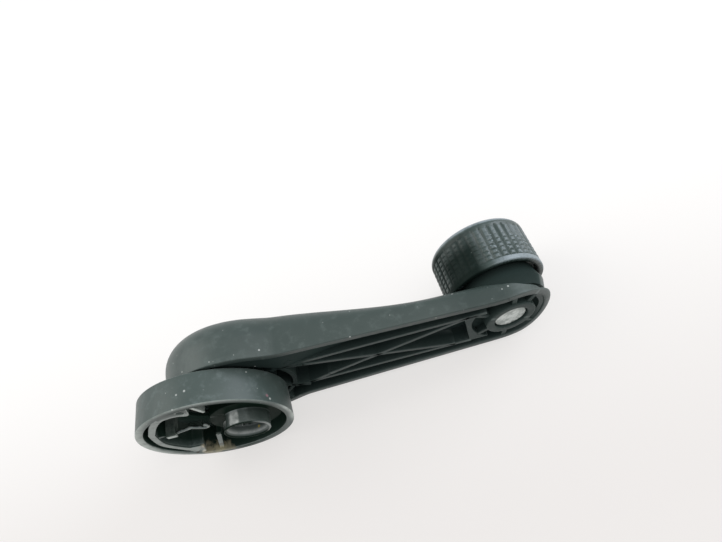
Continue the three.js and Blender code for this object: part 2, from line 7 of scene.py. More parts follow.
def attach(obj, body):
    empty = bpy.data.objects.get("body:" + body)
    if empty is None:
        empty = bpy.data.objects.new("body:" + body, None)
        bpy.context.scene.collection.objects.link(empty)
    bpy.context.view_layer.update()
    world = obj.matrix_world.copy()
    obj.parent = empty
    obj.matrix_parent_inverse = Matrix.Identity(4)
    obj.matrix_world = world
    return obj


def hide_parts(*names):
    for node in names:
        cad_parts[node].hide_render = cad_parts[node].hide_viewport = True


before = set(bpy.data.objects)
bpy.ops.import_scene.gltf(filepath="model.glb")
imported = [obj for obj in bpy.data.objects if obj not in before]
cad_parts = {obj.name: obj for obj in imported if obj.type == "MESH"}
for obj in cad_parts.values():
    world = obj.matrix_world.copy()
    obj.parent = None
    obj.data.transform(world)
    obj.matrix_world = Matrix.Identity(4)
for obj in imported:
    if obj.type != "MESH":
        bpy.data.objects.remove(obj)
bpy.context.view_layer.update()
print("frame loaded")

# Lengths are in millimetres and angles in degrees until a piece gets its mesh.
# The crank's own frame: u runs along the arm from the spindle's axis to the
# knob, v runs across it, and h is the height above the rim, towards the door.
handle = {
    "spindleToPin": 89.1,
    "pinTilt": 8.7,
    "travel": 10.35,
    "lean": 5.0878,
    "origin": (-33.962316, -8.164612, 24.190924),
}
runGap = 0.3        # between pieces that move on each other
armLength = handle["spindleToPin"]
pinTilt, lean = np.radians(handle["pinTilt"]), np.radians(handle["lean"])      # in radians from here


def crankToRow(points):
    # The handle lies on its side: u and v turn by the lean, h points along -Y.
    u, v, h = np.moveaxis(points, -1, 0)
    turned = np.stack([u * np.cos(lean) + v * np.sin(lean), -h, v * np.cos(lean) - u * np.sin(lean)], axis=-1)
    return (turned + np.array(handle["origin"])) / 1000


def rowToCrank(points):
    # The way back: p = (row place - origin), then u = x cos - z sin and v = x sin + z cos.
    x, y, z = np.moveaxis(points * 1000 - np.array(handle["origin"]), -1, 0)
    return np.stack([x * np.cos(lean) - z * np.sin(lean), x * np.sin(lean) + z * np.cos(lean), -y], axis=-1)


def pinToCrank(points):
    # The pin leans by its tilt in the plane of u and h, about the foot of its axis.
    x, y, z = np.moveaxis(points, -1, 0)
    return np.stack([armLength + x * np.cos(pinTilt) + z * np.sin(pinTilt), y,
                     z * np.cos(pinTilt) - x * np.sin(pinTilt)], axis=-1)


def outward(points):
    # Heights on the knob run outward, away from the door.
    return pinToCrank(points * np.array([1, 1, -1]))


def ringToCrank(points):
    # The ring has slid out along -u by its travel.
    return points - np.array([handle["travel"], 0, 0])


def smooth(share):
    # 3t^2 - 2t^3, and flat outside 0 to 1.
    t = np.clip(share, 0, 1)
    return t * t * (3 - 2 * t)


def rising(value, start, over):
    # 0 up to start, then smoothly to 1 over the given distance.
    return smooth((value - start) / over)


def mix(a, b, share):
    # a where the share is 0 and b where it is 1, along a straight line.
    return a + (b - a) * share


def byTable(value, table):
    # A straight line between each two rows of (place, value).
    return np.interp(value, *zip(*table))


def arcPoints(radius, start, end, count):
    # (r cos a, r sin a) for angles evenly spaced from start to end.
    angle = np.radians(np.linspace(start, end, count))
    return np.stack([radius * np.cos(angle), radius * np.sin(angle)], axis=1)


def pointAt(radius, angle):
    # (r cos a, r sin a)
    return arcPoints(radius, angle, angle, 1)[0]


def softened(corners, cuts, steps=4):
    # Rounds each corner P of a closed outline with (1-t)^2 A + 2t(1-t) P + t^2 B,
    # where A and B lie one cut away from P along its two sides, or just short
    # of a side's middle where the cut is longer.
    corners = np.asarray(corners, float)
    cuts = np.broadcast_to(np.asarray(cuts, float), corners.shape[-2:-1])[:, None]
    points = []
    for turn in (1, -1):
        side = np.roll(corners, turn, axis=-2) - corners
        length = np.linalg.norm(side, axis=-1, keepdims=True)
        leg = np.minimum(cuts, length * 0.48)
        points.append(corners + side * leg / np.maximum(length, 1e-9))
    t = np.linspace(0, 1, steps + 1)[:, None]
    a, p, b = (place[..., None, :] for place in (points[0], corners, points[1]))
    curve = (1 - t) ** 2 * a + 2 * t * (1 - t) * p + t ** 2 * b
    return curve.reshape(*corners.shape[:-2], -1, corners.shape[-1])


def surface(grid, closed=False):
    # Quads between neighbouring rows of a grid whose columns run round a loop.
    rows, columns = grid.shape[:2]
    row = np.arange(rows if closed else rows - 1)[:, None]
    column = np.arange(columns)[None, :]
    nextRow, nextColumn = (row + 1) % rows, (column + 1) % columns
    quads = [row * columns + column, row * columns + nextColumn,
             nextRow * columns + nextColumn, nextRow * columns + column]
    return grid.reshape(-1, 3), np.stack(np.broadcast_arrays(*quads), axis=-1).reshape(-1, 4)


def turnedPiece(profile, sides=128, closed=False, radiusAt=None, place=None):
    # A profile of (radius, height) turned about the axis: (r cos a, r sin a, h).
    # radiusAt(r, h, a) may reshape the radius where the shape isn't round.
    profile = np.asarray(profile, float)
    angle = np.arange(sides) * 2 * np.pi / sides
    radius, height, angle = np.broadcast_arrays(profile[:, :1], profile[:, 1:2], angle[None, :])
    if radiusAt is not None:
        radius = radiusAt(radius, height, angle)
    grid = np.stack([radius * np.cos(angle), radius * np.sin(angle), height], axis=-1)
    return surface(grid if place is None else place(grid), closed)


# A wall's extra points: across its top and foot, in from its edges by a share of
# its thickness and no more than a distance, and on its sides, down from its top
# by a distance and no lower than a share of its height.
wallPoints = {"insetShare": 0.25, "insetMost": 0.9, "levels": [(0.4, 3.2), (0.75, 0.6)]}


def band(left, right, low, high, edge=0.3, draft=0.0, closed=False, place=None):
    # A wall carried along a path: at each station a box section from the left
    # point to the right one and from low to high, wider at its foot by the
    # draft, with its two top corners rounded and the extra points above.
    left, right = np.asarray(left, float), np.asarray(right, float)
    low = np.broadcast_to(low, len(left))[:, None]
    high = np.broadcast_to(high, len(left))[:, None]
    across, tall = right - left, high - low
    wide = np.linalg.norm(across, axis=1, keepdims=True)
    across = across / np.maximum(wide, 1e-9)
    inset = across * np.minimum(wide * wallPoints["insetShare"], wallPoints["insetMost"])
    spread = across * draft * tall
    levels = [np.zeros_like(tall)]
    levels += [np.maximum(least, 1 - down / tall) for least, down in wallPoints["levels"]]
    leftSide = [np.hstack([left - spread * (1 - level), low + tall * level]) for level in levels]
    rightSide = [np.hstack([right + spread * (1 - level), low + tall * level]) for level in levels]
    top = [np.hstack([point, high]) for point in (left, left + inset, right - inset, right)]
    foot = [np.hstack([point, low]) for point in (right - inset, left + inset)]
    corners = np.stack([*leftSide, *top, *rightSide[::-1], *foot], axis=1)
    cuts = np.zeros(corners.shape[1])
    cuts[[len(leftSide), len(leftSide) + len(top) - 1]] = edge
    grid = softened(corners, cuts)
    if not closed:
        ends = [np.repeat(grid[k:k + 1].mean(axis=1, keepdims=True), grid.shape[1], axis=1)
                for k in (0, len(grid) - 1)]
        grid = np.concatenate([ends[0], grid, ends[1]])
    return surface(grid if place is None else place(grid), closed)


def straightWall(start, end, thick, low, high, stations=2, **kind):
    # A straight wall: its two faces lie half its thickness either side of the
    # line. Its foot and its top may be functions of the place.
    start, end = np.asarray(start, float), np.asarray(end, float)
    line = mix(start, end, np.linspace(0, 1, stations)[:, None])
    along = (end - start) / np.linalg.norm(end - start)
    side = np.array([-along[1], along[0]]) * thick / 2
    low, high = (limit(line[:, 0], line[:, 1]) if callable(limit) else limit for limit in (low, high))
    return band(line + side, line - side, low, high, **kind)


mergeWithin = 2e-7      # in metres
creaseAngle = 32


def closedMesh(name, points, faces):
    # The mesh in the row frame, with its poles and seams closed and its faces outwards.
    mesh = bpy.data.meshes.new(name)
    mesh.from_pydata(crankToRow(points).tolist(), [], faces.tolist())
    work = bmesh.new()
    work.from_mesh(mesh)
    bmesh.ops.remove_doubles(work, verts=work.verts, dist=mergeWithin)
    bmesh.ops.recalc_face_normals(work, faces=work.faces)
    work.to_mesh(mesh)
    work.free()
    return mesh


def newObject(name, data):
    made = bpy.data.objects.new(name, data)
    bpy.context.scene.collection.objects.link(made)
    return made


def markExposed(mesh, exposedAt):
    # The attribute says how open to light, hands and dust each point lies: 0 deep
    # inside, where the deep tone stands as painted shade, 1 where all three reach it, up
    # to 2 on rubbed edges and painted highlights, and below 0 where painted shade makes it darker still.
    places = np.empty(len(mesh.vertices) * 3, np.float32)
    mesh.vertices.foreach_get("co", places)
    places = rowToCrank(places.reshape(-1, 3).astype(float))
    exposed = np.ones(len(places)) if exposedAt is None else exposedAt(*places.T)
    attribute = mesh.attributes.get("exposed") or mesh.attributes.new("exposed", "FLOAT", "POINT")
    attribute.data.foreach_set("value", exposed.astype(np.float32))


def makePiece(name, shells, body, material, node, exposedAt=None):
    # Puts the shells' points and faces into one mesh and says what the piece is.
    offset, points, faces = 0, [], []
    for shellPoints, shellFaces in shells:
        points.append(shellPoints)
        faces.append(shellFaces + offset)
        offset += len(shellPoints)
    mesh = closedMesh(name, np.concatenate(points), np.concatenate(faces))
    markExposed(mesh, exposedAt)
    mesh.polygons.foreach_set("use_smooth", [True] * len(mesh.polygons))
    mesh.set_sharp_from_angle(angle=np.radians(creaseAngle))
    mesh.materials.append(material)
    piece = newObject(name, mesh)
    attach(piece, body)
    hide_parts(node)
    print(name, len(mesh.polygons), "faces")


def cutAway(name, shell, exposedAt):
    # Takes a closed shell's inside out of a piece, and marks the new points too.
    piece, cutter = bpy.data.objects[name], newObject("cutter", closedMesh("cutter", *shell))
    modifier = piece.modifiers.new("cut", "BOOLEAN")
    modifier.operation, modifier.object, modifier.solver = "DIFFERENCE", cutter, "EXACT"
    modifier.use_self = True
    bpy.context.view_layer.update()
    cut = bpy.data.meshes.new_from_object(piece.evaluated_get(bpy.context.evaluated_depsgraph_get()))
    piece.modifiers.clear()
    piece.data = cut
    markExposed(cut, exposedAt)
    bpy.data.objects.remove(cutter)


# Materials.
def linear(hexColour):
    # From sRGB: v / 12.92 where it is dark, else ((v + 0.055) / 1.055) ^ 2.4.
    values = np.array([int(hexColour[i:i + 2], 16) for i in (0, 2, 4)]) / 255
    low = values / 12.92
    high = ((values + 0.055) / 1.055) ** 2.4
    return (*np.where(values <= 0.04045, low, high), 1.0)


def addNode(tree, kind, settings=None):
    # Adds a node. Each setting is one of the node's own, or goes to the input of
    # that name or number, as a value or as a link from another node's output.
    made = tree.nodes.new(kind)
    for name, value in (settings or {}).items():
        if isinstance(value, bpy.types.NodeSocket):
            tree.links.new(value, made.inputs[name])
        elif isinstance(name, int) or name in made.inputs:
            made.inputs[name].default_value = value
        else:
            setattr(made, name, value)
    return made


def addShares(tree, made, rows):
    # Adds a node for each row of (name, action, first, second), where a text
    # stands for what was made under that name. FADE takes a pattern smoothly from
    # one value to another, and then from 0 to 1 or between two more values.
    # DISTANCE is how far a point lies from a place, and the rest are the Math
    # node's own operations.
    for name, action, first, second in rows:
        second = made[second] if isinstance(second, str) else second
        if action == "FADE":
            limits = dict(zip(("From Min", "From Max", "To Min", "To Max"), second))
            made[name] = addNode(tree, "ShaderNodeMapRange", {
                "interpolation_type": "SMOOTHSTEP", "Value": made[first], **limits}).outputs[0]
        elif action == "DISTANCE":
            made[name] = addNode(tree, "ShaderNodeVectorMath", {
                "operation": action, 0: made[first], 1: second}).outputs["Value"]
        else:
            made[name] = addNode(tree, "ShaderNodeMath", {
                "operation": action, 0: made[first], 1: second}).outputs[0]


def newMaterial(name):
    material = bpy.data.materials.new(name)
    material.use_nodes = True
    material.node_tree.nodes.clear()
    return material, material.node_tree, addNode(material.node_tree, "ShaderNodeTexCoord").outputs["Object"]


def addShader(tree, settings):
    shader = addNode(tree, "ShaderNodeBsdfPrincipled", settings)
    addNode(tree, "ShaderNodeOutputMaterial", {"Surface": shader.outputs["BSDF"]})


# What the plastics share. Sizes are in millimetres, heights and the dirt's push
# in metres. Moulded grain is finer than the render shows, about 0.1 mm, so it is
# drawn coarser.
plasticLook = {
    # Each noise's size, detail and roughness.
    "noises": {"cloud": (17.0, 3.0, 0.55), "mottle": (3.2, 5.0, 0.65), "grain": (0.32, 2.0, 0.5)},
    "speckCell": 2.4, "dustShare": 0.6, "crumbCore": 0.25,
    "dirtSize": 2.6, "dirtPush": 0.007, "pushedFrom": 1, "stainCore": 0.3,
    "roughFrom": 0.25, "roughTo": 0.75, "smoother": 0.07, "rougher": 0.1, "deepSheen": 0.01,
    "waveStrength": 0.12, "waveHeight": 0.0006, "grainHeight": 0.00006,
    "shares": [
        # The pale tone where light, hands and dust reach, in soft clouds, so that the deep
        # tone stays as painted shade in recesses, and a darker painted shade where a place is marked below 0.
        ("open", "MINIMUM", "exposed", 1.0),
        ("cloudy", "FADE", "cloud", (0.2, 0.6, 0.72, 1.0)),
        ("pale", "MULTIPLY", "open", "cloudy"),
        ("paintedShade", "FADE", "exposed", (0.0, -1.0, 0.0, 0.55)),
        # The bloom, in small blotches.
        ("blotches", "FADE", "mottle", (0.5, 0.72)),
        ("blotches", "MULTIPLY", "blotches", "bloomShare"),
        ("bloom", "MULTIPLY", "blotches", "open"),
        # Rubbed edges where the surface is convex, and rubbed edges and painted highlights where it is marked
        # above 1, broken up by the mottling.
        ("convex", "FADE", "pointiness", (0.515, 0.6)),
        ("marked", "FADE", "exposed", (1.0, 2.0)),
        ("edges", "MAXIMUM", "convex", "marked"),
        ("broken", "FADE", "mottle", (0.3, 0.56, 0.4)),
        ("edges", "MULTIPLY", "edges", "broken"),
        ("reached", "FADE", "open", (0.0, 0.5, 0.2)),
        ("edges", "MULTIPLY", "edges", "reached"),
        ("rubbedAndHighlit", "MULTIPLY", "edges", "rubShare"),
        # Dust: single specks, one in a cell at most, where the mottling lets them lie.
        ("specks", "FADE", "cells", (0.1, 0.045)),
        ("lying", "FADE", "mottle", (0.52, 0.6)),
        ("specks", "MULTIPLY", "specks", "lying"),
        ("specks", "MULTIPLY", "specks", "open"),
        ("dirty", "FADE", "mottle", (0.34, 0.5, 0.15)),
    ],
}


def mouldedPlastic(name, facts):
    # Black moulded plastic. Deep inside it is nearly black, as painted shade, and where
    # light, hands and dust reach it is greyed: cloudy, mottled, paler on its rubbed
    # edges and painted highlights, and sprinkled with single specks. A soft sheen lies over the grain.
    material, tree, coords = newMaterial(name)
    look = plasticLook
    made = {"coords": coords, "bloomShare": facts["bloomShare"], "rubShare": facts["rubShare"]}
    made["exposed"] = addNode(tree, "ShaderNodeAttribute", {"attribute_name": "exposed"}).outputs["Fac"]
    made["pointiness"] = addNode(tree, "ShaderNodeNewGeometry").outputs["Pointiness"]
    made["cells"] = addNode(tree, "ShaderNodeTexVoronoi", {
        "Scale": 1000 / look["speckCell"], "Randomness": 1.0, "Vector": coords}).outputs["Distance"]
    for part, (size, detail, roughness) in look["noises"].items():
        made[part] = addNode(tree, "ShaderNodeTexNoise", {
            "Scale": 1000 / size, "Detail": detail, "Roughness": roughness, "Vector": coords}).outputs["Fac"]

    # Dried dirt lies in patches whose outline is pushed about by a coarse noise.
    push = addNode(tree, "ShaderNodeTexNoise", {
        "Scale": 1000 / look["dirtSize"], "Detail": 3.0, "Vector": coords}).outputs["Color"]
    push = addNode(tree, "ShaderNodeVectorMath", {
        "operation": "MULTIPLY_ADD", 0: push, 1: (look["dirtPush"],) * 3, 2: (-look["dirtPush"] / 2,) * 3})
    made["pushed"] = addNode(tree, "ShaderNodeVectorMath", {
        "operation": "ADD", 0: coords, 1: push.outputs[0]}).outputs[0]

    rows = list(look["shares"])
    for x, y, z, radius in facts["crumbs"]:
        rows += [("away", "DISTANCE", "coords", (x / 1000, y / 1000, z / 1000)),
                 ("crumb", "FADE", "away", (radius / 1000, radius * look["crumbCore"] / 1000)),
                 ("specks", "MAXIMUM", "specks", "crumb")]
    rows.append(("dust", "MULTIPLY", "specks", look["dustShare"]))
    layers = [(layer, facts[layer]) for layer in ("pale", "paintedShade", "bloom", "rubbedAndHighlit", "dust")]
    for number, (x, y, z, radius, colour) in enumerate(facts["stains"]):
        around, stain = "pushed" if radius > look["pushedFrom"] else "coords", "stain" + str(number)
        rows += [("away", "DISTANCE", around, (x / 1000, y / 1000, z / 1000)),
                 ("patch", "FADE", "away", (radius / 1000, radius * look["stainCore"] / 1000)),
                 (stain, "MULTIPLY", "patch", "dirty")]
        layers.append((stain, colour))
    # Deep inside, dark walls stand round each place, so it gives back next to no sheen.
    smoothest, roughest = facts["roughness"] - look["smoother"], facts["roughness"] + look["rougher"]
    rows += [("rough", "FADE", "mottle", (look["roughFrom"], look["roughTo"], smoothest, roughest)),
             ("sheen", "FADE", "open", (0.0, 1.0, look["deepSheen"], facts["sheen"]))]
    addShares(tree, made, rows)

    base = linear(facts["deep"])
    for layer, colour in layers:
        base = addNode(tree, "ShaderNodeMix", {
            "data_type": "RGBA", 0: made[layer], 6: base, 7: linear(colour)}).outputs[2]
    waves = addNode(tree, "ShaderNodeBump", {
        "Strength": look["waveStrength"], "Distance": look["waveHeight"], "Height": made["cloud"]})
    fine = addNode(tree, "ShaderNodeBump", {
        "Strength": facts["grainStrength"], "Distance": look["grainHeight"],
        "Height": made["grain"], "Normal": waves.outputs[0]})
    addShader(tree, {"Base Color": base, "Roughness": made["rough"], "IOR": facts["ior"],
                     "Specular IOR Level": made["sheen"], "Normal": fine.outputs[0]})
    return material


# Polypropylene with a fine moulded grain: dull and waxy, so hands grey it; its hollow is painted with
# shade and its hub's end and nose with highlights. A crumb is (x, y, z, radius) in millimetres, and a stain
# has its colour too.
armPlastic = mouldedPlastic("blackPolypropylene", {
    "deep": "2a3533", "paintedShade": "080d0c", "pale": "3c4744", "bloom": "586360", "bloomShare": 0.4,
    "rubbedAndHighlit": "717c79", "rubShare": 0.6, "dust": "cdd1cd",
    "roughness": 0.42, "ior": 1.49, "sheen": 0.4, "grainStrength": 0.35,
    "crumbs": [(-43.19, -6.62, 46.55, 0.34), (-33.07, -7.04, 48.36, 0.3), (-18.72, -5.96, 43.77, 0.42),
               (-23.14, -7.86, 37.85, 0.38), (8.25, -8.13, 38.17, 0.4), (56.83, -3.7, 30.02, 0.42),
               (54.89, -4.32, 30.58, 0.3), (40.37, -1.8, 32.29, 0.42), (39.1, -1.9, 32.2, 0.3),
               (33.96, -8.16, 33.12, 0.3)],
    "stains": []})
# Acetal from a smooth mould: dense and dark, with edges that scuff nearly white; inside it is painted with
# shade, and its rim and walls' tops with highlights.
ringPlastic = mouldedPlastic("blackAcetal", {
    "deep": "24332c", "paintedShade": "0a100d", "pale": "434f4c", "bloom": "657170", "bloomShare": 0.5,
    "rubbedAndHighlit": "bcc4be", "rubShare": 0.88, "dust": "d3d7d3",
    "roughness": 0.42, "ior": 1.48, "sheen": 0.42, "grainStrength": 0.2,
    "crumbs": [(-41.21, -14.22, 49.58, 0.5), (-43.77, -14.8, 49.81, 0.42), (-45.2, -19.08, 50.04, 0.36),
               (-25.21, -10.02, 40.32, 0.36), (-21.08, -18.04, 34.22, 0.55)],
    "stains": [(-21.53, -17.17, 35.15, 0.7, "8a6a70"), (-55.9, -19.2, 12.3, 2.6, "98927c"),
               (-56.29, -18.46, 6.3, 3.6, "8b8570"), (-53.87, -18.6, 5.0, 3.2, "9f997f"),
               (-50.89, -18.2, 3.7, 2.4, "8d8873"), (-57.6, -19.3, 8.4, 2.2, "c3c1b2"),
               (-51.18, -18.36, 8.31, 0.9, "5c4f3c"), (-60.1, -19.14, 8.99, 0.8, "33291f")]})
# Nylon from a smooth mould: tougher and glossier, with painted highlights down its sleeve, on its mouth's
# edge and in its bore, and painted shade on its flange.
hubPlastic = mouldedPlastic("greyedNylon", {
    "deep": "15231c", "paintedShade": "0a130e", "pale": "59625f", "bloom": "737c79", "bloomShare": 0.45,
    "rubbedAndHighlit": "d2d6d2", "rubShare": 0.95, "dust": "e2e5e1",
    "roughness": 0.34, "ior": 1.53, "sheen": 0.5, "grainStrength": 0.15,
    "crumbs": [], "stains": [(-32.6, -19.65, 18.25, 0.6, "b9a24e")]})
# Polypropylene with a moulded knurl: satin, with a sector of painted shade and painted highlights on its lip
# and top edge.
knobPlastic = mouldedPlastic("knurledPolypropylene", {
    "deep": "131c19", "paintedShade": "080d0c", "pale": "374542", "bloom": "55615f", "bloomShare": 0.4,
    "rubbedAndHighlit": "8b979d", "rubShare": 0.75, "dust": "cfd4d0",
    "roughness": 0.36, "ior": 1.5, "sheen": 0.5, "grainStrength": 0.25, "crumbs": [], "stains": []})


def platedSteel(name, facts):
    # Zinc plated steel gone dull: metal that shows through blotches of white
    # zinc bloom, with fine turning marks.
    material, tree, coords = newMaterial(name)
    made = {part: addNode(tree, "ShaderNodeTexNoise", {
        "Scale": 1000 / size, "Detail": detail, "Roughness": roughness, "Vector": coords}).outputs["Fac"]
        for part, (size, detail, roughness) in facts["noises"].items()}
    addShares(tree, made, [("bloomed", "FADE", "blotches", (0.42, 0.62))])
    colour = addNode(tree, "ShaderNodeMix", {
        "data_type": "RGBA", 0: made["bloomed"], 6: linear(facts["metal"]), 7: linear(facts["bloom"])})
    metallic, rough = (addNode(tree, "ShaderNodeMapRange", {
        "Value": made["bloomed"], "To Min": bare, "To Max": underBloom}).outputs[0]
        for bare, underBloom in (facts["metallic"], facts["roughness"]))
    bump = addNode(tree, "ShaderNodeBump", {
        "Strength": facts["markStrength"], "Distance": facts["markHeight"], "Height": made["marks"]})
    addShader(tree, {"Base Color": colour.outputs[2], "Metallic": metallic, "Roughness": rough,
                     "Normal": bump.outputs[0]})
    return material


# Each noise's size in millimetres, detail and roughness. Metallic and roughness
# are those of bare metal, then those of the bloom.
pinSteel = platedSteel("zincPlatedSteel", {
    "noises": {"blotches": (3.4, 6.0, 0.6), "marks": (0.5, 3.0, 0.5)}, "metal": "8f9693", "bloom": "ccd1cd",
    "metallic": (1.0, 0.15), "roughness": (0.34, 0.7), "markStrength": 0.4, "markHeight": 0.00005})
# Blackened spring steel: darker, oiled and drawn through a die, with little bloom.
wireSteel = platedSteel("blackenedSpringWire", {
    "noises": {"blotches": (2.0, 6.0, 0.6), "marks": (0.4, 3.0, 0.5)}, "metal": "6a7270", "bloom": "8b928f",
    "metallic": (1.0, 0.8), "roughness": (0.3, 0.5), "markStrength": 0.4, "markHeight": 0.00005})
nylon = {"cloudSize": 2.5, "milky": "c9c6b8", "clear": "dcd9cd", "roughness": 0.4, "ior": 1.53,
         "depth": 0.2, "reach": (0.0012, 0.001, 0.0008)}


def naturalNylon():
    # Undyed turned nylon: milky and a little yellow, and light goes into it before
    # it comes back.
    material, tree, coords = newMaterial("naturalNylon")
    cloud = addNode(tree, "ShaderNodeTexNoise", {
        "Scale": 1000 / nylon["cloudSize"], "Detail": 3.0, "Vector": coords})
    colour = addNode(tree, "ShaderNodeMix", {
        "data_type": "RGBA", 0: cloud.outputs["Fac"], 6: linear(nylon["milky"]), 7: linear(nylon["clear"])})
    addShader(tree, {"Base Color": colour.outputs[2], "Roughness": nylon["roughness"], "IOR": nylon["ior"],
                     "Subsurface Weight": nylon["depth"], "Subsurface Radius": nylon["reach"]})
    return material


washerNylon = naturalNylon()
print("materials made")

# The arm.
arm = {
    "hubRadius": 24.19, "rootHalf": 20.8, "tipRadius": 14.4, "blend": 3.5,
    "hubDepth": 16.4, "tipDepth": 8.0, "deepEnd": 6.0, "shallowStart": 68.0,
    "hubEdge": 8.4, "hubEdgeDrop": 9.1, "tipEdge": 5.3, "tipEdgeDrop": 3.6,
    "rimWall": 2.6, "skin": 2.6, "rimEdge": 0.35, "noseRise": 4.2, "noseFrom": 84.0, "noseFlare": 1.7,
    "neckRadius": 13.2, "neckTop": 12.6, "bossRadius": 8.2,
    "footRadius": 14.3, "footTop": 10.9, "footSink": 0.6,
}


def slopeShare(u):
    # 0 at the deep end by the hub and 1 where the arm has become shallow, as a smooth step.
    return smooth((u - arm["deepEnd"]) / (arm["shallowStart"] - arm["deepEnd"]))


def armDepth(u):
    # From the rim's plane down to the outer face.
    return mix(arm["hubDepth"], arm["tipDepth"], slopeShare(u))


def noseShare(u):
    # 0 up to where the nose begins, then in proportion up to 1 at its tip.
    noseEnd = armLength + arm["tipRadius"]
    return np.maximum(0, (u - arm["noseFrom"]) / (noseEnd - arm["noseFrom"]))


def rimHeight(u):
    # Flat, then it curves away from the door towards the nose as a parabola.
    return -arm["noseRise"] * noseShare(u) ** 2


def hubHalf(u):
    # Half the width of the hub's circle: the root of R^2 - u^2.
    return np.sqrt(np.maximum(0, arm["hubRadius"] ** 2 - u ** 2))


def taperHalf(u):
    # Half the width of the straight taper between the hub and the nose.
    return mix(arm["rootHalf"], arm["tipRadius"], u / armLength)


def armHalfWidth(u):
    # The hub's circle, a straight taper blended into it, and the nose's circle.
    near = np.maximum(0, 1 - np.abs(hubHalf(u) - taperHalf(u)) / arm["blend"])
    body = np.maximum(hubHalf(u), taperHalf(u)) + arm["blend"] / 4 * near ** 2
    nose = np.sqrt(np.maximum(0, arm["tipRadius"] ** 2 - (u - armLength) ** 2))
    return np.where(u > armLength, nose, np.where(u < 0, hubHalf(u), body))


def armOutline():
    # Half the outline from the hub's end to the nose's, with the way out at each
    # point. The hub's circle is followed up to its turn, where the taper has begun.
    turn = 40
    hub = arcPoints(arm["hubRadius"], 180, turn, 121)[:-1, 0]
    sides = np.linspace(arm["hubRadius"] * np.cos(np.radians(turn)), armLength, 90)[:-1]
    nose = armLength + arcPoints(arm["tipRadius"], 90, 0, 61)[:, 0]
    u = np.concatenate([hub, sides, nose])
    v = armHalfWidth(u)
    v[[0, -1]] = 0
    along = np.stack([np.gradient(u), np.gradient(v)], axis=1)
    along /= np.linalg.norm(along, axis=1, keepdims=True)
    out = np.stack([-along[:, 1], along[:, 0]], axis=1)
    out[0], out[-1] = (-1, 0), (1, 0)
    return u, v, out


def onTip(u):
    # 0 along the arm and 1 at the pin, past which the shape leans with the pin.
    return smooth((u - armLength + arm["tipRadius"]) / arm["tipRadius"])


def armShell():
    # Rows run from the middle of the outer face round its rounded edge, up the
    # wall, over the rim, down inside and to the middle of the hollow's floor.
    # Each row is the outline moved in by an inset and set at its own height.
    # The inner edge is smaller by half the wall, but at least half the outer.
    u, v, out = armOutline()
    half = lambda size, cut: max(size - cut / 2, size / 2)

    def row(inset, heightAt, narrowed=1.0, flare=0.0):
        inset = inset + flare * arm["noseFlare"] * smooth(noseShare(u))
        px = u - out[:, 0] * inset
        height = heightAt(px)
        py = np.maximum(0, v - out[:, 1] * inset) * narrowed
        return np.stack([px + height * np.tan(pinTilt) * onTip(px), py, height], axis=1)

    def wallRows(wall, skin, turns, climbs, narrows):
        cutHub, cutTip = half(arm["hubEdge"], wall), half(arm["tipEdge"], wall)
        dropHub, dropTip = half(arm["hubEdgeDrop"], skin), half(arm["tipEdgeDrop"], skin)
        cut, flat = mix(cutHub, cutTip, slopeShare(u)), lambda x: skin - armDepth(x)
        drop = lambda x: mix(dropHub, dropTip, slopeShare(x))
        rows = [row(wall + cut, flat, narrowed, 1.0) for narrowed in narrows]
        rows += [row(wall + cut * (1 - np.cos(turn)),
                     lambda x: flat(x) + drop(x) * (1 - np.sin(turn)), 1.0, 1.0) for turn in turns]
        rows += [row(wall, lambda x: mix(flat(x) + drop(x), rimHeight(x) - edge, climb), 1.0, 1.0 - climb)
                 for climb in climbs]
        return rows

    edge, turns = arm["rimEdge"], np.linspace(np.pi / 2, 0, 13)
    outer = wallRows(0, 0, turns, [0.33, 0.66], [0, 0.3, 0.6, 0.85])
    inner = wallRows(arm["rimWall"], arm["skin"], turns[::2], [0.3, 0.6, 0.8, 0.92], [0, 0.4, 0.8])
    quarter = np.linspace(0, np.pi / 2, 5)
    overEdge = [(edge * (1 - np.cos(turn)), turn) for turn in quarter]
    overEdge += [(arm["rimWall"] - edge * (1 - np.cos(turn)), turn) for turn in quarter[::-1]]
    rim = [row(inset, lambda x: rimHeight(x) - edge * (1 - np.sin(turn))) for inset, turn in overEdge]
    rows = np.stack(outer + rim + inner[::-1])
    mirrored = rows[:, -2:0:-1] * np.array([1, -1, 1])
    return surface(np.concatenate([rows, mirrored], axis=1))


def insideArm(u, v):
    # How far a place lies in from the arm's outline.
    shifted = u + arm["tipDepth"] * np.tan(pinTilt) * onTip(u)
    fromHub = arm["hubRadius"] - np.hypot(shifted, v)
    fromNose = arm["tipRadius"] - np.hypot(shifted - armLength, v)
    fromSide = np.where(hubHalf(shifted) > taperHalf(shifted), fromHub, taperHalf(shifted) - np.abs(v))
    return np.where(shifted < 0, fromHub, np.where(shifted > armLength, fromNose, fromSide))


def skinHeight(u, v):
    # The middle of the arm's skin below a place in the hollow: the rounded
    # edge's quarter oval near the outline, the flat face further in.
    inside = insideArm(u, v)
    edge = mix(arm["hubEdge"], arm["tipEdge"], slopeShare(u))
    drop = mix(arm["hubEdgeDrop"], arm["tipEdgeDrop"], slopeShare(u))
    turn = np.clip(1 - (inside - arm["rimWall"] / 2) / edge, 0, 1)
    return arm["skin"] / 2 - armDepth(u) + drop * (1 - np.sqrt(1 - turn ** 2))


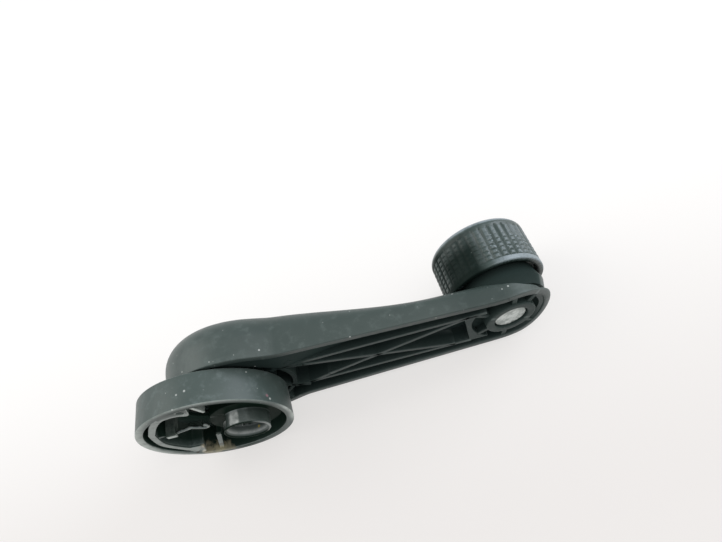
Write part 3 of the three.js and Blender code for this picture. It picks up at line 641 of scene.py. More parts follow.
ribs = {
    "thick": 1.5, "sink": 0.3, "edge": 0.38, "draft": 0.012, "intoBoss": 1.0, "intoColumn": 1.5,
    "hubWallRadius": 17.0, "webRadius": 12.6, "webLeft": 74.9, "upperLine": 8.0, "lowerLine": 9.6,
    # Each long rib's two ends: the share of the arm's length, then the share of
    # the way from the lower line to the upper one.
    "longLineShares": [
        [(0.168, 1), (0.92, 1)], [(0.168, 0), (0.845, 0)],
        [(0.228, 0), (0.314, 0.14)], [(0.31, 0.135), (0.86, 1)],
        [(0.176, 1), (0.253, 0.875)], [(0.249, 0.88), (0.786, 0)],
    ],
    "pinAngles": [80, 42, -57, -105, -150, 145],
    "hubAngles": [30, 60, 120, 150, 180, 210, 240, 300, 330],
}
column = {"radius": 11.4, "flatHalf": 10.2, "top": 2.25, "pocketRadius": 7.7, "pocketDepth": 10.3,
          "edge": 0.4}
# The ledge's level below 0 is painted shade under the ring, fading out along the arm.
ledge = {"start": -6.0, "flatTo": 14.0, "end": 46.0, "sink": 0.2, "fall": 3.2, "thick": 1.2, "edge": 0.2,
         "outerShare": 0.6, "paintedShade": -0.5, "paintedShadeTo": 8.0, "paintedShadeFade": 14.0}
knobPin = {"shank": 5.3, "recess": 0.67, "dome": 0.12, "dishEdge": 0.1, "journal": 4.5, "grooveRadius": 3.8,
           "edge": 0.55, "endPastClip": 0.9}


def ribTop(u, v):
    # A little below the rim, and level from side to side.
    return rimHeight(u) - ribs["sink"]


def armRibs():
    # Long ribs by their line shares, spokes out from the pin and the spindle,
    # a round wall about the spindle and a web with a hollow round end.
    pin, half, rimMiddle = np.array([armLength, 0]), ribs["thick"] / 2, arm["rimWall"] / 2
    lines = [[(along * armLength, mix(-ribs["lowerLine"], ribs["upperLine"], up)) for along, up in line]
             for line in ribs["longLineShares"]]
    lines += [(pin + pointAt(arm["bossRadius"] - ribs["intoBoss"], angle),
               pin + pointAt(arm["tipRadius"] - rimMiddle, angle)) for angle in ribs["pinAngles"]]
    lines += [(pointAt(column["radius"] - ribs["intoColumn"], angle),
               pointAt(arm["hubRadius"] - rimMiddle, angle)) for angle in ribs["hubAngles"]]
    shells = [straightWall(*line, ribs["thick"], skinHeight, ribTop, stations=24,
                           edge=ribs["edge"], draft=ribs["draft"]) for line in lines]
    outer, inner = (arcPoints(ribs["hubWallRadius"] + side, 0, 360, 129)[:-1] for side in (half, -half))
    middle = (outer + inner) / 2
    shells.append(band(outer, inner, skinHeight(middle[:, 0], middle[:, 1]), -ribs["sink"],
                       edge=ribs["edge"], closed=True))
    v = np.linspace(-ribs["lowerLine"], ribs["upperLine"], 40)
    left = np.stack([np.full_like(v, ribs["webLeft"]), v], axis=1)
    right = np.stack([armLength - np.sqrt(ribs["webRadius"] ** 2 - v ** 2), v], axis=1)
    shells.append(band(left, right, skinHeight(left[:, 0], v), -ribs["sink"], edge=ribs["edge"]))
    return shells


def slideLedge():
    # A ledge that the ring slides over, between the arm's side and the round
    # wall. Past the hub it goes on to the upper long rib, and falls as an s curve.
    u = np.linspace(ledge["start"], ledge["end"], 72)
    outer = armHalfWidth(u) - arm["rimWall"] * ledge["outerShare"]
    inner = np.maximum(np.sqrt(np.maximum(0, ribs["hubWallRadius"] ** 2 - u ** 2)), ribs["upperLine"])
    top = -ledge["sink"] - ledge["fall"] * smooth((u - ledge["flatTo"]) / (ledge["end"] - ledge["flatTo"]))
    return band(np.stack([u, outer], axis=1), np.stack([u, inner], axis=1), top - ledge["thick"], top,
                edge=ledge["edge"])


def guideColumn():
    # A turned column whose outer radius is cut off by two flats: min(R, flat / |sin a|).
    root, inner, outer = -arm["hubDepth"] + arm["skin"] / 2, column["pocketRadius"], column["radius"]
    profile = softened([
        (0, -column["pocketDepth"]), (inner, -column["pocketDepth"]), (inner, 0), (inner, column["top"]),
        (outer, column["top"]), (outer, root), (0, root)], [0, 0.3, 0, column["edge"], column["edge"], 0, 0])

    def flats(radius, height, angle):
        flat = column["flatHalf"] / np.maximum(np.abs(np.sin(angle)), 1e-3)
        share = np.clip((radius - inner) / (outer - inner), 0, 1)
        return radius + share * (np.minimum(outer, flat) - outer)

    return turnedPiece(profile, 160, radiusAt=flats)


def pinHousing():
    # The neck that carries the knob and the boss round the pin, turned as one.
    bore, root = knobPin["shank"] + runGap, arm["tipDepth"] / 2
    low, high = arm["tipDepth"] - arm["footSink"], arm["footTop"]
    profile = softened([
        (bore, 0), (arm["bossRadius"], 0), (arm["bossRadius"], -root), (arm["neckRadius"], -root),
        (arm["footRadius"], -low), (mix(arm["footRadius"], arm["neckRadius"], 0.6), -mix(low, high, 0.6)),
        (arm["neckRadius"], -high), (arm["neckRadius"], -arm["neckTop"]), (bore, -arm["neckTop"])],
        [0.4, 0.5, 0.5, 0, 0.1, 0.8, 0.8, 0.6, 0.2])
    return turnedPiece(profile, 128, closed=True, place=pinToCrank)


# How exposed the arm lies to light, hands and dust, as the attribute has it: levels, and the places and
# distances in millimetres, or degrees round the pin, where they hold or fade.
armWear = {
    # Along the outside, by the place along the arm: the dip beside the neck is the knob's painted shadow, and
    # the rise above 1 at the hub's end and the nose is painted highlight.
    "outside": [(-24, 1.5), (-8, 1.4), (8, 1.15), (18, 1.0), (66, 1.0), (78, 0.6), (88, 0.6), (94, 1.35),
                (101, 1.55)],
    "noseRim": 0.3, "wallShare": 0.55, "inRim": 0.3, "rimFlat": 0.05, "ribSlack": 0.15,
    "hollow": 0.4, "hollowFrom": 0.3, "hollowOver": 2.2,
    "ribsAtHub": -0.4, "ribsAlong": 0.45, "ribsFrom": 2, "ribsOver": 9, "ribsAtKnob": 0.3, "webOver": 2,
}
# Levels below 0 are the knob's painted shadow on the neck.
neckWear = {"nose": 0.9, "paintedShade": -0.45, "mostPaintedShade": -0.8, "mostFrom": 8, "mostOver": 3, "neckFrom": 3,
            "footFade": 1.6, "footOver": 1.4, "noseTurn": -20, "noseHalf": 36, "noseOver": 26}


def armExposed(u, v, h):
    # Outside it goes by the table, but the rim's flat top at the nose is kept darker. In the
    # hollow it fades with the depth below the rim, as painted shade. The ribs' tops carry painted
    # shade near the hub, under the ring, and are partly open from there on, lighter as painted light.
    wear = armWear
    inward, depth = insideArm(u, v), np.maximum(0, rimHeight(u) - h)
    inHollow = (inward > arm["rimWall"] * wear["wallShare"]) & (h > skinHeight(u, v))
    onRibs = (inward > arm["rimWall"] + wear["inRim"]) & (depth < ribs["sink"] + wear["ribSlack"])
    onNose = (inward > wear["inRim"]) & (depth < wear["rimFlat"]) & (u > arm["noseFrom"])
    ribTops = mix(wear["ribsAtHub"], wear["ribsAlong"],
                  rising(np.hypot(u, v), ribs["hubWallRadius"] + wear["ribsFrom"], wear["ribsOver"]))
    ribTops = mix(ribTops, wear["ribsAtKnob"], rising(u, ribs["webLeft"] - wear["webOver"], wear["webOver"]))
    hollow = wear["hollow"] * (1 - rising(depth, wear["hollowFrom"], wear["hollowOver"]))
    outside = np.where(onNose, wear["noseRim"], byTable(u, wear["outside"]))
    return np.where(onRibs, ribTops, np.where(inHollow, hollow, outside))


def neckExposed(u, v, h):
    # The neck is darkened by the knob's painted shadow, all but its foot at the arm's nose.
    # The boss is as the arm is.
    wear = neckWear
    out = -(h + (u - armLength) * np.sin(pinTilt))
    fromNose = np.abs(np.degrees(np.arctan2(v, u - armLength)) - wear["noseTurn"])
    dark = np.maximum(rising(out, arm["footTop"] - wear["footFade"], wear["footOver"]),
                      rising(fromNose, wear["noseHalf"], wear["noseOver"]))
    paintedShade = mix(wear["paintedShade"], wear["mostPaintedShade"], rising(out, wear["mostFrom"], wear["mostOver"]))
    return np.where(out > wear["neckFrom"], mix(wear["nose"], paintedShade, dark), armExposed(u, v, h))


def ledgeExposed(u, v, h):
    # Dark all over, and darker still with painted shade where the ring nearly touches it.
    return ledge["paintedShade"] * (1 - rising(u, ledge["paintedShadeTo"], ledge["paintedShadeFade"]))


for name, shells, exposedAt in (
        ("armShell", [armShell()], armExposed), ("armRibs", armRibs(), armExposed),
        ("slideLedge", [slideLedge()], ledgeExposed), ("guideColumn", [guideColumn()], armExposed),
        ("pinNeck", [pinHousing()], neckExposed)):
    makePiece(name, shells, "arm", armPlastic, "crank_arm", exposedAt)
print("arm made")

# The splined hub.
splineHub = {
    "radius": 7.4, "depth": 10.0, "top": 13.9, "splineTip": 5.9, "splineRoot": 5.2, "teeth": 18,
    "boreFloor": 6.0, "flangeRadius": 11.6, "flangeThick": 6.45, "edge": 0.35,
    "mouthRadius": 6.9, "mouthDeep": 1.6, "plainDeep": 3.4, "plainRadius": 6.1,
    "toothFlat": 1.4, "leadFrom": 0.2, "leadOver": 0.8,
}
# How exposed it lies to light, hands and dust, with painted highlights and shade. The two tables go by the
# angle round the spindle's axis.
hubWear = {
    "sleeve": [(-180, 0.2), (35, 0.4), (52, 0.55), (64, 0.65), (70, 0.95), (88, 1.15), (93, 2.0),
               (112, 2.0), (120, 1.1), (130, 0.4), (180, 0.2)],
    "rim": [(-180, -0.1), (-60, -0.1), (-30, 0.4), (-10, 1.3), (30, 1.3), (48, 0.5), (62, 0.0), (180, -0.1)],
    "rimDeep": 0.5, "fade": 0.35, "fadeFrom": 3, "fadeOver": 2, "flange": -0.35, "flangeFrom": 0.2,
    "bore": 1.5, "boreOver": 6, "boreFrom": 0.15,
}
flangeLow = column["top"] + runGap
flangeTop = flangeLow + splineHub["flangeThick"]


def splinedSleeve():
    # A turned sleeve whose bore's radius swings between the spline's root and
    # tip as the angle goes round: a softened square wave with one beat a tooth.
    hub = splineHub
    radius, top = hub["radius"], hub["top"]
    corners = [
        (0, -hub["depth"]), (radius, -hub["depth"]), (radius, flangeLow),
        (hub["flangeRadius"], flangeLow), (hub["flangeRadius"], flangeTop), (radius, flangeTop),
        (radius, top - 3), (radius, top - 0.6), (radius, top), (hub["mouthRadius"], top),
        (hub["plainRadius"], top - hub["mouthDeep"]), (hub["plainRadius"], top - hub["plainDeep"]),
        (hub["splineTip"], top - hub["plainDeep"] - 0.3), (hub["splineTip"], -hub["boreFloor"]),
        (0, -hub["boreFloor"])]
    profile = softened(corners, [0, 0.4, 0, 0.3, hub["edge"], 0.6, 0, 0, 0.2, 0.15, 0.6, 0.1, 0.1, 0.2, 0])

    def splines(radius, height, angle):
        wave = np.clip(0.5 + hub["toothFlat"] * np.cos(angle * hub["teeth"]), 0, 1)
        inBore = (radius < hub["splineTip"] + 0.05) & (radius > 1) & (height > -hub["boreFloor"] - 0.01)
        leadIn = smooth((top - hub["plainDeep"] - hub["leadFrom"] - height) / hub["leadOver"])
        return np.where(inBore, radius - (hub["splineTip"] - hub["splineRoot"]) * (1 - wave) * leadIn, radius)

    return turnedPiece(profile, 432, radiusAt=splines)


def hubExposed(u, v, h):
    # The flange is dark with painted shade. The sleeve has a painted highlight band down one side and is
    # darker round the other, fading deeper down as painted shade, and its mouth's edge and the bore near its
    # mouth are painted light.
    wear, radius, depth = hubWear, np.hypot(u, v), splineHub["top"] - h
    angle = np.degrees(np.arctan2(v, u))
    faded = wear["fade"] * rising(depth, wear["fadeFrom"], wear["fadeOver"])
    sleeve = byTable(angle, wear["sleeve"]) * (1 - faded)
    level = np.where(depth < wear["rimDeep"], byTable(angle, wear["rim"]), sleeve)
    level = np.where(radius > splineHub["radius"] + wear["flangeFrom"], wear["flange"], level)
    bore = wear["bore"] * (1 - rising(depth, wear["rimDeep"], wear["boreOver"]))
    return np.where(radius < splineHub["mouthRadius"] - wear["boreFrom"], bore, level)


makePiece("splineSleeve", [splinedSleeve()], "arm", hubPlastic, "spline_hub", hubExposed)

# The lock ring.
lockRing = {
    "lift": 0.48, "foot": 24.3, "rim": 25.0, "height": 10.64, "wall": 2.44, "floor": 1.52, "edge": 0.4,
    "slotHalf": 10.6, "slotEnd": 12.2, "webTop": 10.2, "webAngle": -108, "webThick": 1.6, "webInner": 8.2,
    "flangeRoom": 0.6, "finAngle": 87.6, "finTipAngle": 79.6, "finTip": 16.7, "finThick": 1.0,
    "cWallTop": 10.9, "cWallGap": 1.76, "cWallThick": 2.1, "cWallFrom": 90, "cWallTo": 238,
    "eyeAngle": 98, "eyeInset": 2.0, "eyeRadius": 1.3,
    "ribThick": 1.2, "ribSide": 3.0, "anchorWide": 2.4, "anchorLong": 3.2, "anchorTop": 11.0,
    # How far round the C-shaped wall, then how far its inner face stands in
    # from the ring and how far its outer face does.
    "cWallShares": [
        (0, 0.1, 0), (0.012, 0.77, 0), (0.027, 1.28, 0), (0.047, 1.44, 0), (0.068, 1.31, 0),
        (0.088, 1.05, 0), (0.122, 0.84, 0), (0.149, 0.74, 0), (0.189, 0.61, 0.1), (0.243, 0.69, 0.42),
        (0.318, 0.87, 0.72), (0.405, 0.985, 0.95), (0.473, 1, 1), (0.66, 1, 1), (0.845, 1, 1),
        (0.892, 1.2, 0.8), (0.939, 1.6, 0.3), (0.959, 1.6, 0), (0.98, 0.9, 0), (1, 0.1, 0)],
}
# How exposed it lies to light, hands and dust. The two tables go by the angle round the ring's own axis, and
# paint highlights and shade along the rim's edges.
ringWear = {
    "rim": [(-180, 2.0), (-130, 1.6), (-105, 0.9), (-85, 0.4), (-30, 1.0), (-12, 1.9), (8, 1.8), (22, 1.2),
            (35, 1.3), (75, 1.5), (120, 1.4), (150, 1.8), (180, 2.0)],
    "rimInside": [(-180, 1.6), (-105, 0.8), (-85, 0.3), (-12, 1.0), (20, 0.1), (100, 0.1), (125, 1.0),
                  (150, 1.5), (180, 1.7)],
    "rimDeep": 0.35, "insideDeep": 0.05, "outerFrom": 1, "innerTo": 0.02, "wallTops": 1.5, "wallDeep": 0.32,
    "walls": 0.7, "wallsFrom": 0.3, "wallsOver": 0.5, "webTops": 1.3, "webFrom": 0.7, "webTo": 1.05,
    "anchor": -0.3, "anchorSlack": 0.1, "ridge": 1.35, "ridgeShare": 0.27, "ridgeDeep": 0.2,
}
ringInner = lockRing["rim"] - lockRing["wall"]
ringTop = lockRing["lift"] + lockRing["height"]
ringReach = lockRing["rim"] - lockRing["wall"] / 2
wallFoot = lockRing["lift"] + lockRing["floor"] / 2


def ringSkirt():
    # A box section, wider at its rim, turned about the ring's axis.
    ring = lockRing
    profile = softened([
        (ringInner, ring["lift"]), (ring["foot"], ring["lift"]), (ring["rim"], ringTop), (ringInner, ringTop),
        (ringInner, ringTop - 0.6), (ringInner, ringTop - 1.6)],
        [0.1, ring["edge"], ring["edge"], 0.3, 0, 0])
    return turnedPiece(profile, 192, closed=True, place=ringToCrank)


def ringFloor():
    # A plate between the slot's edge and the skirt, carried round as a band.
    # The slot has straight sides and a round end about the ring's centre.
    half, end = lockRing["slotHalf"], lockRing["slotEnd"]
    start = np.sqrt(ringReach ** 2 - half ** 2)
    turn = np.degrees(np.arcsin(half / end))
    sides = np.linspace(start, -end * np.cos(np.radians(turn)), 40)
    upper = np.stack([sides, np.full(40, half)], axis=1)
    inner = np.concatenate([upper[:-1], arcPoints(end, 180 - turn, 180 + turn, 40),
                            (upper * (1, -1))[::-1][1:]])
    angle = np.degrees(np.arctan2(half, start))
    outer = arcPoints(ringReach, angle, 360 - angle, len(inner))
    return band(outer, inner, lockRing["lift"], lockRing["lift"] + lockRing["floor"], edge=0.25,
                place=ringToCrank)


def cWallFaces():
    # Both faces as radii at each angle, from the shares, smoothed by a cubic
    # through each four neighbours: (2b + (c-a)t + (2a-5b+4c-d)t^2 + (3b-a-3c+d)t^3) / 2.
    ring = lockRing
    table = np.array(ring["cWallShares"], float)
    inner = ringInner - table[:, 1] * (ring["cWallGap"] + ring["cWallThick"])
    outer = mix(ringReach, ringInner - ring["cWallGap"], table[:, 2])
    angle = np.radians(mix(ring["cWallFrom"], ring["cWallTo"], table[:, 0]))
    faces = []
    for radius in (outer, inner):
        place = np.stack([radius * np.cos(angle), radius * np.sin(angle)], axis=1)
        padded = np.concatenate([place[:1], place, place[-1:]])
        a, b, c, d = (padded[k:len(padded) - 3 + k, None, :] for k in range(4))
        t = np.linspace(0, 1, 9)[:-1, None]
        curve = 0.5 * (2 * b + (c - a) * t + (2 * a - 5 * b + 4 * c - d) * t ** 2
                       + (3 * b - a - 3 * c + d) * t ** 3)
        faces.append(np.concatenate([curve.reshape(-1, 2), place[-1:]]))
    return faces


def aboveFlange(u, v):
    # The lower web's foot: the ring's floor, or higher where the flange slides under it.
    clear = np.hypot(u, v) > splineHub["flangeRadius"] + lockRing["flangeRoom"]
    return np.where(clear, wallFoot, flangeTop + runGap)


def ringWalls():
    # The C-shaped wall, then the lower web, the fin, the rib and the block that
    # holds the spring, each as its two ends, thickness, foot, top and edge.
    ring, side, tip = lockRing, lockRing["ribSide"], -lockRing["slotEnd"]
    ribStart = ring["cWallGap"] + ring["cWallThick"] / 2 - ringInner
    shells = [band(*cWallFaces(), wallFoot, ring["cWallTop"], edge=0.4, place=ringToCrank)]
    for start, end, thick, foot, top, edge in (
            (pointAt(ring["webInner"], ring["webAngle"]), pointAt(ringReach, ring["webAngle"]),
             ring["webThick"], aboveFlange, ring["webTop"], 0.4),
            (pointAt(ring["finTip"], ring["finTipAngle"]), pointAt(ringReach, ring["finAngle"]),
             ring["finThick"], wallFoot, ring["cWallTop"], 0.3),
            ((ribStart, side), (tip, side), ring["ribThick"], wallFoot, ring["webTop"], 0.35),
            ((tip - ring["anchorLong"], side), (tip, side),
             ring["anchorWide"], wallFoot, ring["anchorTop"], 0.7)):
        stations = 60 if callable(foot) else 2
        shells.append(straightWall(start, end, thick, foot, top, stations, edge=edge, place=ringToCrank))
    return shells


def ringExposed(u, v, h):
    # Open outside, rubbed pale and painted with highlights along the rim's edges and on the walls' tops, and
    # dark down inside as painted shade. The spring's block is darker still with painted shade, but lighter
    # along its ridge.
    ring, wear = lockRing, ringWear
    fromAxis, depth = u + handle["travel"], ringTop - h
    radius, angle = np.hypot(fromAxis, v), np.degrees(np.arctan2(v, fromAxis))
    walls = wear["walls"] - wear["walls"] * rising(depth, wear["wallsFrom"], wear["wallsOver"])
    wallTops = np.where(depth < wear["wallDeep"], wear["wallTops"], walls)
    webTops = np.where((depth > wear["webFrom"]) & (depth < wear["webTo"]), wear["webTops"], 0.0)
    rim = np.where(radius > ringInner + wear["outerFrom"], byTable(angle, wear["rim"]),
                   byTable(angle, wear["rimInside"]))
    inside = np.where(depth < wear["insideDeep"], rim, np.maximum(wallTops, webTops))
    outside = np.where(depth < wear["rimDeep"], rim, 1.0)
    level = np.where(radius < ringInner + wear["innerTo"], inside, outside)
    fromAnchor = np.abs(fromAxis + ring["slotEnd"] + ring["anchorLong"] / 2)
    fromRib = np.abs(v - ring["ribSide"])
    atAnchor = (fromAnchor < ring["anchorLong"] / 2 + wear["anchorSlack"]) & (
        fromRib < ring["anchorWide"] / 2 + wear["anchorSlack"])
    onRidge = (fromRib < ring["anchorWide"] * wear["ridgeShare"]) & (depth < wear["ridgeDeep"])
    return np.where(atAnchor, np.where(onRidge, wear["ridge"], wear["anchor"]), level)


def eyeHole():
    # A round hole down through the thick end of the C-shaped wall.
    ring = lockRing
    low, high = ring["lift"] + ring["floor"], ring["cWallTop"] + 1
    middle = pointAt(ringInner - ring["eyeInset"], ring["eyeAngle"])
    return turnedPiece([(0, low), (ring["eyeRadius"], low), (ring["eyeRadius"], high), (0, high)], 32,
                       place=lambda grid: ringToCrank(grid + np.array([*middle, 0])))


for name, shells in (("ringSkirt", [ringSkirt()]), ("ringFloor", [ringFloor()]), ("ringWalls", ringWalls())):
    makePiece(name, shells, "ring", ringPlastic, "lock_ring", ringExposed)
cutAway("ringWalls", eyeHole(), ringExposed)

# The locking spring.
lockSpring = {"wire": 1.1, "anchored": 2.4, "kink": 6.6, "kinkSide": 1.4, "end": 3.6, "endSide": -1.3,
              "hookRadius": 1.2, "hookTail": 1.0, "stations": 110, "sides": 20, "roundings": 6}
springHeight = flangeTop + runGap + lockSpring["wire"] / 2


def springWire():
    # A circle of the wire's radius carried along a flat path: centre plus
    # r cos a along the path's side and r sin a upwards. The path runs from the
    # anchor to a kink, slants down to its end and turns back in a hook, and each
    # of its points is averaged with its neighbours a few times.
    spring, sides = lockSpring, lockSpring["sides"]
    bend, tip = spring["hookRadius"], -lockRing["slotEnd"]
    places = np.array([(tip - spring["anchored"], 0), (tip, 0), (-spring["kink"], spring["kinkSide"]),
                       (-spring["end"], spring["endSide"])], float)
    along = (places[3] - places[2]) / np.linalg.norm(places[3] - places[2])
    side = np.array([-along[1], along[0]])
    slant = np.degrees(np.arctan2(along[1], along[0]))
    hook = places[3] + side * bend + arcPoints(bend, slant - 90, slant + 90, 25)
    corners = np.concatenate([places, hook, hook[-1:] - along * spring["hookTail"]])
    walked = np.concatenate([[0], np.cumsum(np.linalg.norm(np.diff(corners, axis=0), axis=1))])
    steps = np.linspace(0, walked[-1], spring["stations"])
    path = np.stack([np.interp(steps, walked, corners[:, k]) for k in (0, 1)], axis=1)
    for _ in range(spring["roundings"]):
        path[1:-1] = (path[:-2] + 2 * path[1:-1] + path[2:]) / 4
    along = np.gradient(path, axis=0)
    along /= np.linalg.norm(along, axis=1, keepdims=True)
    side = np.stack([-along[:, 1], along[:, 0]], axis=1)
    angle = np.arange(sides) * 2 * np.pi / sides
    ends = np.sqrt(np.clip(np.minimum(np.arange(len(path)), np.arange(len(path))[::-1]) / 2, 0, 1))
    radius = (spring["wire"] / 2 * ends)[:, None]
    flat = path[:, None, :] + side[:, None, :] * (radius * np.cos(angle))[..., None]
    grid = np.concatenate([flat, (radius * np.sin(angle))[..., None]], axis=2)
    return surface(ringToCrank(grid + np.array([0, lockRing["ribSide"], springHeight])))


def springNotch():
    # The sleeve's side is cut open where the hook goes in to the spindle's groove.
    spring, room = lockSpring, lockSpring["wire"] / 2 + 2 * runGap
    near, far = -splineHub["radius"] - 1, spring["wire"] - spring["end"]
    lowSide = lockRing["ribSide"] + spring["endSide"] - spring["hookRadius"] - room
    highSide = lockRing["ribSide"] + spring["kinkSide"] + room
    return band([(near, highSide), (far, highSide)], [(near, lowSide), (far, lowSide)],
                flangeTop, springHeight + room, edge=0)


makePiece("lockSpringWire", [springWire()], "ring", wireSteel, "lock_spring")
cutAway("splineSleeve", springNotch(), hubExposed)
print("hub and ring made")

# The knob, its pin and what holds it.
knob = {
    "lipRadius": 16.43, "lipEdge": 0.5, "topRadius": 16.08, "lipBottom": 11.3, "top": 28.47, "topRound": 2.5,
    "recessRadius": 14.4, "chamberRadius": 9.6, "chamberFloor": 21.0,
    "capRadius": 11.8, "capThick": 1.6, "capSink": 0.2, "capFace": 0.93, "dishEdge": 1.2, "dishDeep": 0.25,
    "dishMiddle": 0.3,
    "knurlLow": 13.3, "knurlHigh": 24.9, "knurlRows": 7, "knurlColumns": 38, "knurlDepth": 0.55,
    "rowPoints": 12, "columnPoints": 14, "rowFlat": 1.7, "columnFlat": 1.5, "sidePastCap": 3,
    # The rows join to bars by a share of the knurl's depth, more so near the top.
    "joined": 0.35, "joinedMost": 0.85, "joinFrom": 0.45, "joinOver": 0.35, "joinTurn": 20,
}
# How worn it is and where light and shade are painted on it. Angles run round the pin from the arm's nose:
# pale, then a dark sector of painted shade, where the knurl is worn shallower, then the knob's far side,
# painted darker.
knobWear = {
    "paleTo": 84, "darkFrom": 108, "darkTo": 138, "sideFrom": 164, "paleFrom": 330, "sideOver": 10,
    "paleOver": 40, "dark": 0.92, "side": 0.7, "darkFade": 0.45, "fadeFrom": 19, "fadeOver": 6,
    "mouth": 0.9, "mouthOver": 0.5, "mouthIn": 0.4, "mouthWide": 0.6,
    "topEdge": 1.85, "topFrom": 2.7, "topOver": 1.2, "topPastCap": 2,
    "lip": 0.9, "lipOver": 0.5, "lipWide": 0.5, "lipTo": 60, "lipFade": 50,
    "crest": 0.06, "crestPale": 0.35, "crestSide": 0.35, "crestDown": 0.24, "crestOver": 0.2,
    # The knurl's depth that is left, then waves of it: size, beats, start and twist.
    "left": 0.78, "waves": [(0.12, 5, 1.3, 0), (0.1, 13, 0, 7)],
    "palm": 0.62, "palmLess": 0.3, "palmOver": 26, "palmEnd": 22,
}
bush = {"wall": 1.4, "flangeRadius": 8.2, "flangeThick": 0.9}
thrustWasher = {"radius": 9.0, "thick": 1.2}
waveWasher = {"radius": 7.6, "thick": 0.4, "wave": 0.15, "waves": 3}
clip = {"radius": 7.2, "thick": 0.8, "mouth": 100}

bushBore = knobPin["journal"] + runGap
bushRadius = bushBore + bush["wall"]
washerLow = arm["neckTop"] + runGap
washerHigh = washerLow + thrustWasher["thick"]
recessFloor = washerHigh + runGap
bushFlangeLow = knob["chamberFloor"] + runGap
bushFlangeHigh = bushFlangeLow + bush["flangeThick"]
waveLow = bushFlangeHigh + runGap + waveWasher["wave"]
clipLow = waveLow + waveWasher["thick"] + waveWasher["wave"] + 2 * runGap
clipHigh = clipLow + clip["thick"]
pinEnd = clipHigh + knobPin["endPastClip"]
capHigh = knob["top"] - knob["capSink"]
capLow = capHigh - knob["capThick"]


def pinShape():
    # A turned pin: a faintly domed, dished head, its shank, journal and groove.
    pin, shank, journal, groove = knobPin, knobPin["shank"], knobPin["journal"], knobPin["grooveRadius"]
    corners = [
        (0, pin["recess"] + pin["dome"]), (shank * 0.55, pin["recess"] + pin["dishEdge"]),
        (shank * 0.7, pin["recess"]), (shank, pin["recess"]),
        (shank, arm["neckTop"]), (journal, arm["neckTop"]),
        (journal, clipLow - runGap), (groove, clipLow - runGap), (groove, clipHigh + runGap),
        (journal, clipHigh + runGap), (journal, pinEnd), (0, pinEnd)]
    cuts = [0, 0.8, 0.8, pin["edge"], 0.2, 0.1, 0.1, 0.1, 0.1, 0.1, 0.4, 0]
    return turnedPiece(softened(corners, cuts), 96, place=outward)


def knurlWear(angle, share):
    # The share of the knurl's depth that is left: slow waves round and along the
    # knob, and least in the sector that the palm polished, towards its middle.
    wear, left = knobWear, knobWear["left"]
    for size, beats, start, twist in wear["waves"]:
        left = left + size * np.sin(np.radians(angle) * beats + start + share * twist)
    palm = (rising(angle, wear["paleTo"], wear["palmOver"])
            * smooth((wear["sideFrom"] - angle) / wear["palmEnd"]))
    return left * (1 - palm * (wear["palm"] - wear["palmLess"] * share))


def onKnurl(out, radius, slack=0.0):
    # True on the knob's side, from the knurl's lowest row to its highest.
    return ((out > knob["knurlLow"] - slack) & (out < knob["knurlHigh"] + slack)
            & (radius > knob["capRadius"] + knob["sidePastCap"]))


def knobExposed(u, v, h):
    # Greyed all round but in the dark sector and on the far side, both painted shade, and under the lip's
    # mouth, painted shade too; rubbed on the knurl's crests, and painted with highlights along the lip and
    # the top edge.
    wear = knobWear
    x = (u - armLength) * np.cos(pinTilt) - h * np.sin(pinTilt)
    out = -(u - armLength) * np.sin(pinTilt) - h * np.cos(pinTilt)
    angle, radius = np.degrees(np.arctan2(v, x)) % 360, np.hypot(x, v)
    dark = (rising(angle, wear["paleTo"], wear["darkFrom"] - wear["paleTo"])
            * smooth((wear["sideFrom"] - angle) / (wear["sideFrom"] - wear["darkTo"]))
            * (1 - wear["darkFade"] * rising(out, wear["fadeFrom"], wear["fadeOver"])))
    side = (rising(angle, wear["darkTo"], wear["sideOver"])
            * smooth((wear["paleFrom"] - angle) / wear["paleOver"]))
    mouth = (smooth((knob["lipBottom"] + wear["mouthOver"] - out) / wear["mouthOver"])
             * smooth((knob["lipRadius"] - wear["mouthIn"] - radius) / wear["mouthWide"]))
    topEdge = (rising(out, knob["top"] - wear["topFrom"], wear["topOver"])
               * (radius > knob["capRadius"] + wear["topPastCap"]))
    lip = (smooth((knob["knurlLow"] - out) / wear["lipOver"]) * (radius > knob["lipRadius"] - wear["lipWide"])
           * (1 - rising(angle, wear["lipTo"], wear["lipFade"])))
    level = (1 - wear["dark"] * dark) * (1 - wear["side"] * side) * (1 - wear["mouth"] * mouth)
    nominal = mix(knob["lipRadius"], knob["topRadius"],
                  (out - knob["lipBottom"]) / (knob["top"] - knob["lipBottom"]))
    crest = rising(radius, nominal - wear["crestDown"], wear["crestOver"]) * onKnurl(out, radius)
    crest = crest * (wear["crest"] + wear["crestPale"] * (1 - dark) + wear["crestSide"] * side)
    return np.maximum(level, wear["topEdge"] * topEdge) + wear["lip"] * lip + crest


